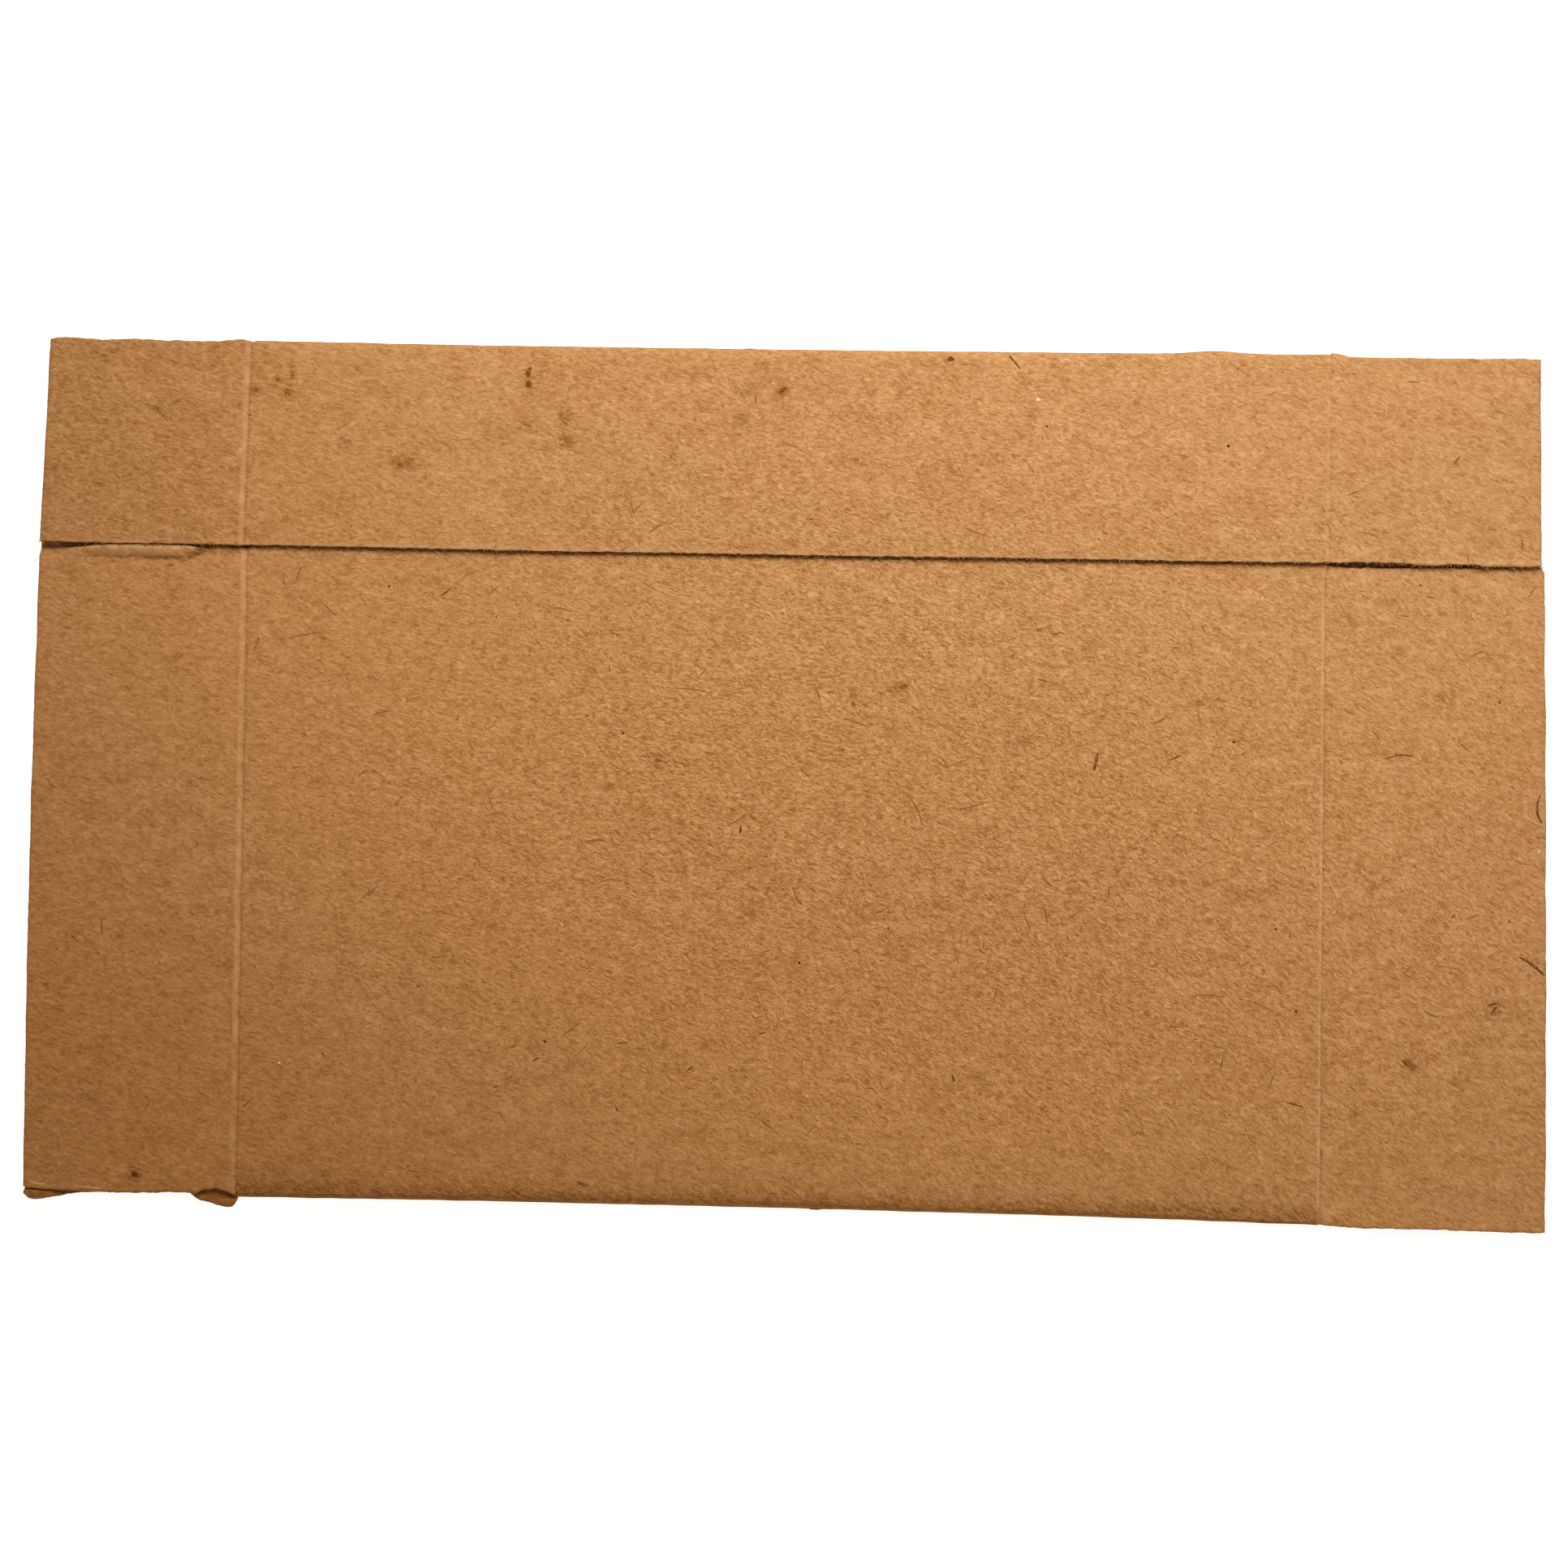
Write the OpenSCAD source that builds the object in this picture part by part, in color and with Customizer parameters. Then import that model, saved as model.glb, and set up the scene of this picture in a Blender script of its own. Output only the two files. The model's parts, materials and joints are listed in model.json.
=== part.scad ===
// Small folding carton of solid kraft board, knocked flat.
// One creased sheet is folded over at both long edges into a flat sleeve and lap-glued at a seam.
// The seam faces up, the sleeve runs along X and the panels follow one another along Y.

/* [Sleeve] */
// Length of the sleeve between the creases of its end flaps
sleeve_length = 108; // [60:1:200]
// Width of each of the two main panels
main_width = 64.5; // [45:0.5:120]
// Width of each of the two side panels
side_width = 20; // [16:0.5:40]

/* [Board] */
// Thickness of the board
board = 0.7; // [0.4:0.05:1.2]
// Space between the front and rear layers of the flattened sleeve
layer_gap = 0.2; // [0.1:0.05:0.6]
// Width of a crease pressed into the outer face
crease_width = 0.9; // [0.6:0.05:1.4]
// Depth of a crease
crease_depth = 0.12; // [0.05:0.01:0.25]

/* [Glue tab] */
// Width of the tab that is glued under the side panel
tab_width = 12; // [5:0.5:14]
// Depth to which the main panel itself runs under the side panel, at the root of the tab
tab_root = 1; // [0.5:0.1:3]
// How far the root of the tab is set back from each end of the sleeve
tab_setback = 0.5; // [0.2:0.1:1]
// How far the outer corners of the tab are set back from each end of the sleeve
tab_slant = 4; // [2:0.5:10]

/* [End flaps] */
// Length of the left main flap along its lower edge
left_main_length = 21.5; // [14:0.1:30]
// Length of the right main flap along its lower edge
right_main_length = 22; // [14:0.1:30]
// Length of the left side flap along its lower edge
left_side_length = 21.3; // [14:0.1:30]
// Length of the right side flap along its lower edge
right_side_length = 20.9; // [14:0.1:30]
// Length of the two rear main flaps along their lower edges
rear_main_length = 21.4; // [14:0.1:30]
// Length of the two rear side flaps along their lower edges
rear_side_length = 21.4; // [14:0.1:30]
// How much shorter each flap is along its upper edge
cut_skew = 0.4; // [0:0.05:1]
// Width of the slots between neighbouring flaps
slot_width = 0.6; // [0.4:0.05:1.5]
// Depth of the wear along torn and rubbed flap edges
tear_depth = 0.8; // [0.1:0.05:1]

/* [Hidden] */
$fn = 64;

sunlit_kraft = "#c68f5a";
kraft = "#b57e4b";
worn_kraft = "#9e6a3d";

// Length by which a cut runs past the board
overrun = 1;

// Heights of the undersides of the front main panel and of the side panel lapped over it
front_z = board + layer_gap;
lap_z = front_z + board;

// Inner radii of the two folds: the upper one also closes over the glue tab
low_fold_inner = layer_gap / 2;
high_fold_inner = (board + layer_gap) / 2;

// Lines that run along the sleeve, from the lower fold to the upper one
across = low_fold_inner + main_width + side_width + high_fold_inner + 2 * board;
low_y = board + low_fold_inner - across / 2;
rear_crease_y = low_y + side_width;
seam_y = low_y + main_width;
high_y = seam_y + side_width;

// The flaps lie flat where the sleeve bends, so their slits lie a quarter of a fold further out
function quarter_fold(inner) = PI / 2 * (inner + board / 2);
low_slit_y = low_y - quarter_fold(low_fold_inner);
high_slit_y = high_y + quarter_fold(high_fold_inner);
root_inset = quarter_fold(high_fold_inner) + tear_depth;

half_length = sleeve_length / 2;
crease_radius = (pow(crease_width / 2, 2) + pow(crease_depth, 2)) / (2 * crease_depth);
crease_rise = crease_radius - crease_depth;

// Worn edges: share of the flap's length from its crease, and share of the tear depth lost there
left_main_low_shares = [[0, 0.2], [0.04, 0.66], [0.09, 0.98], [0.155, 0.8], [0.185, 0],
    [0.33, 0.22], [0.73, 0.34], [0.91, 0.45], [0.985, 0.7], [1, 1.1]];
left_main_high_shares = [[0, -0.2], [0.29, -0.15], [0.41, -0.24], [0.75, -0.24], [0.9, 0], [0.98, 0.6],
    [1, 1.2]];
right_main_low_shares = [[0, -0.05], [0.08, -0.25], [0.19, -0.4], [0.47, -0.35], [0.74, -0.5],
    [0.98, -0.57], [1, -0.4]];
right_main_high_shares = [[0, 0.1], [0.35, -0.1], [0.93, -0.15], [0.98, 0.1], [1, 0.8]];
left_side_low_shares = [[0, 0], [0.4, 0.05], [0.7, -0.02], [1, 0.08]];
left_side_high_shares = [[0, 0.5], [0.03, 0.3], [0.06, 0.2], [0.1, 0.25], [0.18, 0.5], [0.42, 0.47],
    [0.585, 0.3], [0.76, 0.46], [0.92, 0.13], [1, 0.4]];
right_side_low_shares = [[0, -0.05], [0.35, -0.05], [0.97, -0.1], [1, 0.1]];
right_side_high_shares = [[0, 0.25], [0.08, 0.6], [0.12, 0.8], [0.31, 0.92], [0.92, 0.66], [1, 0.75]];
// The lower left corner of the rear layer is crushed, and a torn burr stands out at its crease
rear_torn_shares = [[0, -0.55], [0.02, -1.3], [0.05, -1.42], [0.11, -1], [0.18, -0.7], [0.23, 0.3],
    [0.3, 0.5], [0.75, 0.1], [0.92, -0.82], [0.97, -0.9], [1, -0.2]];
rear_plain_shares = [[0, 0.3], [1, 0.3]];

// Half of a fold, seen along the sleeve, that opens towards +x
module fold_section(inner)
    difference() {
        circle(r = inner + board);
        circle(r = inner);
        translate([0, -inner - board - overrun])
            square([inner + board + overrun, 2 * (inner + board + overrun)]);
    }

// One layer of board, seen along the sleeve
module layer_section(from_y, to_y, z)
    polygon([[from_y, z], [to_y, z], [to_y, z + board], [from_y, z + board]]);

// Flattened sleeve, seen along its length
module sleeve_section() {
    layer_section(low_y, high_y, 0);
    layer_section(low_y, seam_y + tab_root, front_z);
    layer_section(seam_y, high_y, lap_z);
    translate([low_y, board + low_fold_inner])
        fold_section(low_fold_inner);
    translate([high_y, board + high_fold_inner])
        mirror([1, 0])
            fold_section(high_fold_inner);
}

module glue_tab()
    translate([0, 0, front_z])
        linear_extrude(board)
            polygon([
                [tab_setback - half_length, seam_y], [half_length - tab_setback, seam_y],
                [half_length - tab_slant, seam_y + tab_width], [tab_slant - half_length, seam_y + tab_width]
            ]);

// Groove across the sleeve at the right flap crease, in a face at height z
// side is 1 for a face that looks up and -1 for one that looks down
module flap_crease(low, high, z, side)
    translate([half_length, low, z + side * crease_rise])
        rotate([-90, 0, 0])
            cylinder(r = crease_radius, h = high - low);

// Groove between the two rear panels
module rear_crease()
    translate([-half_length, rear_crease_y, -crease_rise])
        rotate([0, 90, 0])
            cylinder(r = crease_radius, h = sleeve_length);

// One end flap at the right crease, with its worn lower and upper edges
module flap_sheet(length, low, high, low_shares, high_shares)
    translate([half_length, 0, 0])
        linear_extrude(board)
            polygon(concat(
                [for (p = low_shares) [p[0] * length, low + p[1] * tear_depth]],
                [for (i = [len(high_shares) - 1 : -1 : 0])
                    [high_shares[i][0] * (length - cut_skew), high - high_shares[i][1] * tear_depth]]
            ));

// A flap of the front layer: its groove is in the upper face, on the line it folds along
module front_flap(length, low, high, z, low_shares, high_shares)
    difference() {
        translate([0, 0, z])
            flap_sheet(length, low, high, low_shares, high_shares);
        flap_crease(low_slit_y - overrun, high_slit_y + overrun, z + board, 1);
    }

module main_flap(length, low_shares, high_shares)
    front_flap(length, low_slit_y, seam_y - slot_width / 2, front_z, low_shares, high_shares);

module side_flap(length, low_shares, high_shares)
    front_flap(length, seam_y + slot_width / 2, high_slit_y, lap_z, low_shares, high_shares);

// A flap of the rear layer, with a root that runs on into its panel
module rear_flap(length, low, high, low_shares, high_shares) {
    flap_sheet(length, low, high, low_shares, high_shares);
    translate([half_length, 0, 0])
        linear_extrude(board)
            polygon([
                [-overrun, low + root_inset], [overrun, low + root_inset],
                [overrun, high - root_inset], [-overrun, high - root_inset]
            ]);
}

// The two rear flaps of one end
module rear_flaps(low_shares) {
    rear_flap(rear_side_length, low_slit_y, rear_crease_y - slot_width / 2, low_shares, rear_plain_shares);
    rear_flap(rear_main_length, rear_crease_y + slot_width / 2, high_slit_y, rear_plain_shares,
        rear_plain_shares);
}

// Grooves of one end in all the faces of the sleeve
module end_creases() {
    flap_crease(low_slit_y - overrun, seam_y, lap_z, 1);
    flap_crease(seam_y, high_slit_y + overrun, lap_z + board, 1);
    flap_crease(low_slit_y - overrun, high_slit_y + overrun, 0, -1);
}

module sleeve()
    color(kraft)
        difference() {
            union() {
                rotate([90, 0, 90])
                    linear_extrude(sleeve_length, center = true)
                        sleeve_section();
                glue_tab();
                rear_flaps(rear_plain_shares);
                mirror([1, 0, 0])
                    rear_flaps(rear_torn_shares);
            }
            end_creases();
            mirror([1, 0, 0])
                end_creases();
            rear_crease();
        }

module left_main_flap()
    color(worn_kraft)
        mirror([1, 0, 0])
            main_flap(left_main_length, left_main_low_shares, left_main_high_shares);

module right_main_flap()
    color(kraft)
        main_flap(right_main_length, right_main_low_shares, right_main_high_shares);

module left_side_flap()
    color(worn_kraft)
        mirror([1, 0, 0])
            side_flap(left_side_length, left_side_low_shares, left_side_high_shares);

module right_side_flap()
    color(sunlit_kraft)
        side_flap(right_side_length, right_side_low_shares, right_side_high_shares);

sleeve();
left_main_flap();
right_main_flap();
left_side_flap();
right_side_flap();
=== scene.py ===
"""Looks of a small kraft carton, knocked flat: felted board, creases, torn edges, fibres and stains."""
import json
import math

import bpy
import numpy as np
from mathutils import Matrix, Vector


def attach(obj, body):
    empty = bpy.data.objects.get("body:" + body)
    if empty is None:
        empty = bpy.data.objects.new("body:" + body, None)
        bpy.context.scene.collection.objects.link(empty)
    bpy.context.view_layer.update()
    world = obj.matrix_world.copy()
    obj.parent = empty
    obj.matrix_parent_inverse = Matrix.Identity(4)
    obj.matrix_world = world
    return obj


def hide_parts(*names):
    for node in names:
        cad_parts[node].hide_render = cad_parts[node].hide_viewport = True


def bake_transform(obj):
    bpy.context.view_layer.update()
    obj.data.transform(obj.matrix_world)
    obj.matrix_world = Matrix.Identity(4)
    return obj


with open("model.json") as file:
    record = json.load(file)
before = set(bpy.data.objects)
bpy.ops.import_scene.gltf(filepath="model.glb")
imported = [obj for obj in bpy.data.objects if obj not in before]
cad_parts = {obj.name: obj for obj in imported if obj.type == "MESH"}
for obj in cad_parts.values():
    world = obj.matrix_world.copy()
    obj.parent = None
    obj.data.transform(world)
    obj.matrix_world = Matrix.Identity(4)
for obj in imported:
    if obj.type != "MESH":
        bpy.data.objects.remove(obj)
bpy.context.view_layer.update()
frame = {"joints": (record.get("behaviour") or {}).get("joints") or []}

# Lengths in this script are millimetres until a mesh is written
MM = 0.001

# Sizes of the carton: from the frame, and from the sheet that it is cut from
joints = {joint["name"]: joint for joint in frame["joints"]}
CREASE_X = joints["right_main_crease"]["pos_m"][0] / MM
FRONT_TOP = joints["right_main_crease"]["pos_m"][2] / MM
LAP_TOP = joints["right_side_crease"]["pos_m"][2] / MM
BOARD = LAP_TOP - FRONT_TOP
LAYER_GAP = FRONT_TOP - 2 * BOARD
MAIN_WIDTH = 64.5
SIDE_WIDTH = 20.0
TAB_WIDTH = 12.0
TAB_SLANT = 4.0
SLOT_WIDTH = 0.6
TEAR_DEPTH = 0.8
LOW_FOLD = BOARD + LAYER_GAP / 2
HIGH_FOLD = BOARD + (BOARD + LAYER_GAP) / 2
LOW_Y = LOW_FOLD - (LOW_FOLD + MAIN_WIDTH + SIDE_WIDTH + HIGH_FOLD) / 2
REAR_CREASE_Y = LOW_Y + SIDE_WIDTH
SEAM_Y = LOW_Y + MAIN_WIDTH
HIGH_Y = SEAM_Y + SIDE_WIDTH
LOW_SLIT_Y = LOW_Y - math.pi / 2 * (LOW_FOLD - BOARD / 2)
HIGH_SLIT_Y = HIGH_Y + math.pi / 2 * (HIGH_FOLD - BOARD / 2)
MAIN_HIGH_Y = SEAM_Y - SLOT_WIDTH / 2
SIDE_LOW_Y = SEAM_Y + SLOT_WIDTH / 2

# Worn flap edges: share of the flap's length from its crease, and share of the tear depth lost there
LEFT_MAIN_LOW = [
    (0, 0.2), (0.04, 0.66), (0.09, 0.98), (0.155, 0.8), (0.185, 0.25), (0.22, 0.42), (0.3, 0.42),
    (0.45, 0.22), (0.58, 0.22), (0.73, 0.26), (0.91, 0.42), (0.985, 0.55), (1, 0.75),
]
LEFT_MAIN_HIGH = [
    (0, -0.6), (0.04, -0.5), (0.09, -0.45), (0.12, -0.62), (0.17, -0.64), (0.2, -0.45), (0.25, -0.4),
    (0.29, -0.62), (0.4, -0.74), (0.52, -0.7), (0.62, -0.74), (0.69, -0.62), (0.75, -0.42),
    (0.85, -0.26), (0.95, -0.16), (1, 0),
]
RIGHT_MAIN_LOW = [
    (0, -0.15), (0.08, -0.35), (0.19, -0.5), (0.47, -0.45), (0.74, -0.55), (0.98, -0.6), (1, -0.52),
]
RIGHT_MAIN_HIGH = [
    (0, -0.45), (0.03, -0.28), (0.08, -0.1), (0.16, -0.04), (0.18, -0.26), (0.2, -0.06), (0.27, -0.08),
    (0.4, -0.18), (0.46, -0.34), (0.55, -0.28), (0.6, -0.24), (0.71, -0.26), (0.735, -0.44),
    (0.76, -0.28), (0.84, -0.3), (0.95, -0.48), (0.985, -0.3), (1, 0.2),
]
LEFT_SIDE_LOW = [
    (0, -0.02), (0.4, 0.06), (0.7, 0.02), (1, 0.12),
]
LEFT_SIDE_HIGH = [
    (0, 0.5), (0.03, 0.3), (0.06, 0.2), (0.1, 0.25), (0.18, 0.5), (0.28, 0.48), (0.36, 0.43),
    (0.42, 0.47), (0.585, 0.3), (0.76, 0.46), (0.92, 0.13), (1, 0.4),
]
RIGHT_SIDE_LOW = [
    (0, -0.15), (0.05, -0.2), (0.12, -0.04), (0.165, -0.06), (0.18, -0.2), (0.2, -0.06), (0.35, -0.1),
    (0.43, -0.36), (0.52, -0.34), (0.58, -0.16), (0.7, -0.2), (0.735, -0.42), (0.78, -0.34),
    (0.95, -0.36), (1, -0.26),
]
RIGHT_SIDE_HIGH = [
    (0, 0.25), (0.08, 0.6), (0.12, 0.8), (0.31, 0.92), (0.92, 0.66), (1, 0.75),
]
REAR_TORN = [
    (0, -0.55), (0.02, -1.3), (0.05, -1.42), (0.11, -1), (0.18, -0.7), (0.23, 0.3), (0.3, 0.5),
    (0.75, -0.08), (0.92, -0.82), (0.97, -0.9), (1, -0.2),
]
REAR_PLAIN = [(0, 0.3), (1, 0.3)]

# Wrinkles in the board: from, to, half width, height
WRINKLES = (
    ((-68.4, 20.1), (-66.7, 18.2), 0.16, 0.05), ((-67.6, 17.4), (-65.2, 16.3), 0.15, 0.035),
    ((-64.0, 20.35), (-62.2, 20.6), 0.1, -0.05), ((-74.9, 21.0), (-71.6, 20.4), 0.2, 0.05),
    ((-75.3, -40.4), (-73.2, -41.2), 0.15, 0.05), ((53.0, 22.1), (53.8, 21.56), 0.09, -0.07),
    ((53.8, 21.56), (54.9, 22.1), 0.09, -0.07), ((-55.6, 30.1), (-54.3, 28.0), 0.3, 0.05),
    ((-55.0, 26.0), (-54.1, 23.6), 0.25, 0.05),
)


# Noise and relief

def plane_noise(x, y, seed):
    """Smooth noise over the plane, about -1 to 1, with one lattice cell to a unit."""
    xi, yi = np.floor(x).astype(np.int64), np.floor(y).astype(np.int64)
    fx, fy = x - xi, y - yi

    def corner(dx, dy):
        h = ((xi + dx) * 374761393 + (yi + dy) * 668265263 + seed * 974634777) & 0xFFFFFFFF
        h = ((h ^ (h >> 13)) * 1274126177) & 0xFFFFFFFF
        angle = (h ^ (h >> 16)) % 4096 * (math.tau / 4096)
        return np.cos(angle) * (fx - dx) + np.sin(angle) * (fy - dy)

    sx = fx * fx * fx * (fx * (fx * 6 - 15) + 10)
    sy = fy * fy * fy * (fy * (fy * 6 - 15) + 10)
    low = corner(0, 0) * (1 - sx) + corner(1, 0) * sx
    high = corner(0, 1) * (1 - sx) + corner(1, 1) * sx
    return 1.5 * (low * (1 - sy) + high * sy)


def line_noise(x, seed):
    """Smooth noise along a line."""
    return plane_noise(x, np.zeros_like(x), seed)


def ease(value, start, end):
    """Smooth step from 0 at start to 1 at end."""
    t = np.clip((value - start) / (end - start), 0, 1)
    return t * t * (3 - 2 * t)


def felt_relief(x, y, seed):
    """Height of the felted board over a flat one: slow cockling, and streaks that fall to the right."""
    along, across = x * 0.96 - y * 0.28, x * 0.28 + y * 0.96
    cockle = 0.06 * plane_noise(x / 24, y / 19, seed) + 0.025 * plane_noise(x / 8, y / 6, seed + 1)
    streaks = 0.012 * plane_noise(along / 1.9, across / 0.95, seed + 2)
    return cockle + streaks + 0.008 * plane_noise(along / 1.1, across / 0.6, seed + 3)


def crease_distances(x, y):
    """Distances along X from the two lines of pressed flap creases, which wander a little."""
    wander = 0.05 * line_noise(y / 4.3, 71) + 0.03 * line_noise(y / 1.1, 72)
    left = np.interp(y, [-44, -29, 20, 21.9, 22.3, 42], [-53.95, -54.0, -54.3, -54.3, -54.5, -54.2])
    right = np.interp(y, [-44, -38, 21, 22, 42], [54.08, 54.06, 53.78, 54.0, 53.92])
    return x - wander - left, x - wander - right


def crease_relief(x, y):
    """Pressed flap creases: a valley with a steep inner side at the left, a low ridge at the right."""
    left, right = crease_distances(x, y)
    valley = np.interp(left, [-0.95, -0.6, 0, 0.15, 0.4], [0, 0.03, -0.1, -0.01, 0])
    valley = valley * (0.5 + 0.5 * ease(y, -43, -30))
    ridge = np.interp(right, [-0.9, -0.1, 0.1, 0.5], [0, 0.085, -0.04, 0])
    return valley + ridge * np.where(y > SEAM_Y, 0.55, 1)


def wrinkle_relief(x, y):
    """Soft ridges and grooves along straight lines."""
    height = np.zeros_like(x)
    for (ax, ay), (bx, by), half_width, rise in WRINKLES:
        length = math.hypot(bx - ax, by - ay)
        along = ((x - ax) * (bx - ax) + (y - ay) * (by - ay)) / length
        across = ((x - ax) * (by - ay) - (y - ay) * (bx - ax)) / length
        ends = ease(along, -0.3, 0.3) * ease(along, length + 0.3, length - 0.3)
        height += rise * ends * np.exp(-(across / half_width) ** 2)
    return height


def lip_span(x, y):
    """Share of the torn lip at a place on the left main flap, its inward distance and its torn end."""
    inward = 22.3 - y + 0.14 * line_noise(x / 1.7, 73) + 0.05 * line_noise(x / 0.6, 74)
    torn_end = -60.8 + 1.9 * np.clip(1.2 - inward, 0, 1) + 0.3 * line_noise(y / 0.35, 75)
    return ease(x, -75.0, -70.0) * ease(x, torn_end + 0.12, torn_end - 0.12), inward, torn_end


def lip_relief(x, y):
    """Edge of the left main flap: torn and rolled up beside the slot, and pressed down next to that."""
    span, inward, torn_end = lip_span(x, y)
    roll = np.interp(inward, [-0.2, 0, 0.3, 0.7, 1.1, 1.3], [0.3, 0.42, 0.52, 0.4, 0.17, 0])
    groove = np.interp(inward, [1.05, 1.26, 1.45, 2.0], [0, -0.13, -0.08, 0]) * ease(x, -70.0, -65.5)
    pressed = np.interp(inward, [0, 0.9, 1.3, 1.7], [0.16, -0.06, -0.04, 0])
    beyond = ease(x, torn_end - 0.2, torn_end + 0.3) * ease(x, -54.4, -55.2)
    dip = 0.45 * ease(-x, 69.0, 74.0) * ease(y, 20.9, 22.0) * (y < SEAM_Y + 0.5)
    return span * (roll + groove) + beyond * pressed - dip


def front_relief(x, y):
    """Relief of the front panel and of the main flaps beside it."""
    return felt_relief(x, y, 11) + crease_relief(x, y) + wrinkle_relief(x, y) + lip_relief(x, y)


def lap_relief(x, y):
    """Relief of the lapped side panel and of the side flaps beside it."""
    return felt_relief(x, y, 31) + crease_relief(x, y) + wrinkle_relief(x, y)


def rear_relief(x, y):
    """Relief of the rear flaps, faint because they lie on the surface."""
    return 0.3 * felt_relief(x, y, 51)


def crushed_relief(x, y):
    """Rear corner that was knocked up round the end of the flap above it, and the burr at the crease."""
    knob = ease(-y, 42.5, 43.1) * ease(-x, 71.0, 74.2)
    burr = ease(-y, 42.9, 43.8) * ease(x, -58.0, -55.5)
    crumple = 0.1 * (knob + burr) * plane_noise(x / 0.6, y / 0.5, 53)
    return rear_relief(x, y) + 0.8 * knob + 0.35 * burr + crumple


def low_bow(x):
    """How far the lower fold stands in from a straight line."""
    places = [-54, -30, 0, 30, 36, 42.6, 49, 54]
    bows = [0.02, 0.33, 0.4, 0.17, 0.02, -0.1, -0.31, -0.36]
    return np.interp(x, places, bows) + 0.02 * line_noise(x / 3, 76)


def high_bow(x):
    """The same for the upper fold, which has a bump near its right end."""
    bow = np.interp(x, [-54, -30, 0, 30, 54], [-0.05, 0.26, 0.36, 0.25, 0.05])
    bump = 0.45 * np.exp(-((x - 42.5) / 3.0) ** 2)
    return bow - bump + 0.02 * line_noise(x / 3, 77)


# Mesh builders: faces of the outer side, of raw edges and of the inner side are material slots 0, 1 and 2

def add_object(name, points, faces, slots, materials):
    """One piece of the scene from points in mm, faces and the material slot of each face."""
    mesh = bpy.data.meshes.new(name)
    mesh.from_pydata((np.asarray(points) * MM).tolist(), [], faces)
    for material in materials:
        mesh.materials.append(material)
    mesh.polygons.foreach_set("material_index", np.asarray(slots, np.int32))
    mesh.polygons.foreach_set("use_smooth", np.ones(len(faces), bool))
    mesh.set_sharp_from_angle(angle=math.radians(55))
    piece = bpy.data.objects.new(name, mesh)
    bpy.context.scene.collection.objects.link(piece)
    return piece


def grid_faces(first, rows, cols, flip=False):
    """Quads of a grid of points, from the index of its first point."""
    index = first + np.arange(rows * cols).reshape(rows, cols)
    corners = [index[:-1, :-1], index[1:, :-1], index[1:, 1:], index[:-1, 1:]]
    quads = np.stack([c.ravel() for c in corners], 1)
    return (quads[:, ::-1] if flip else quads).tolist()


def strip_faces(first, second, closed):
    """Quads between two rows of point indices."""
    if closed:
        first, second = np.append(first, first[0]), np.append(second, second[0])
    return np.stack([first[:-1], second[:-1], second[1:], first[1:]], 1)


def rough_edge(run, seed, level):
    """Bulge of a raw edge along its run, at one of its levels."""
    fine = 0.04 * line_noise(run / 0.45 + 40 * level, seed)
    return fine + 0.03 * line_noise(run / 1.3 + 90 * level, seed + 1)


# Levels of a raw edge between its two faces: share of the board's thickness, and bulge
EDGE_LEVELS = ((0.18, 0.02), (0.5, 0.035), (0.82, 0.02))


def slab(name, top, bottom, materials, seed):
    """A closed piece of board between two grids of points, whose rows start at the crease."""
    rows, cols = top.shape[:2]
    index = np.arange(rows * cols).reshape(rows, cols)
    rim = np.concatenate([index[:-1, 0], index[-1, :-1], index[:0:-1, -1], index[0, :0:-1]])
    upper, lower = top.reshape(-1, 3), bottom.reshape(-1, 3)
    ring = upper[rim]
    tangent = np.roll(ring, -1, 0) - np.roll(ring, 1, 0)
    outward = np.stack([tangent[:, 1], -tangent[:, 0], 0 * tangent[:, 0]], 1)
    outward /= np.maximum(np.linalg.norm(outward, axis=1, keepdims=True), 1e-9)
    run = np.cumsum(np.linalg.norm(tangent, axis=1)) / 2
    at_crease = np.abs(np.abs(ring[:, 0]) - CREASE_X) < 1e-6
    points, layers = [upper, lower], [rim]
    for level, (depth, bulge) in enumerate(EDGE_LEVELS):
        push = np.where(at_crease, 0, bulge + rough_edge(run, seed, level))
        points.append(ring * (1 - depth) + lower[rim] * depth + outward * push[:, None])
        layers.append(2 * rows * cols + level * len(rim) + np.arange(len(rim)))
    layers.append(rows * cols + rim)
    faces = grid_faces(0, rows, cols) + grid_faces(rows * cols, rows, cols, flip=True)
    half = (rows - 1) * (cols - 1)
    slots = [0] * half + [2] * half
    hidden = at_crease & np.roll(at_crease, -1)
    for a, b in zip(layers, layers[1:]):
        faces += strip_faces(a, b, True).tolist()
        slots += np.where(hidden, 2, 1).tolist()
    return add_object(name, np.concatenate(points), faces, slots, materials)


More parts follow.
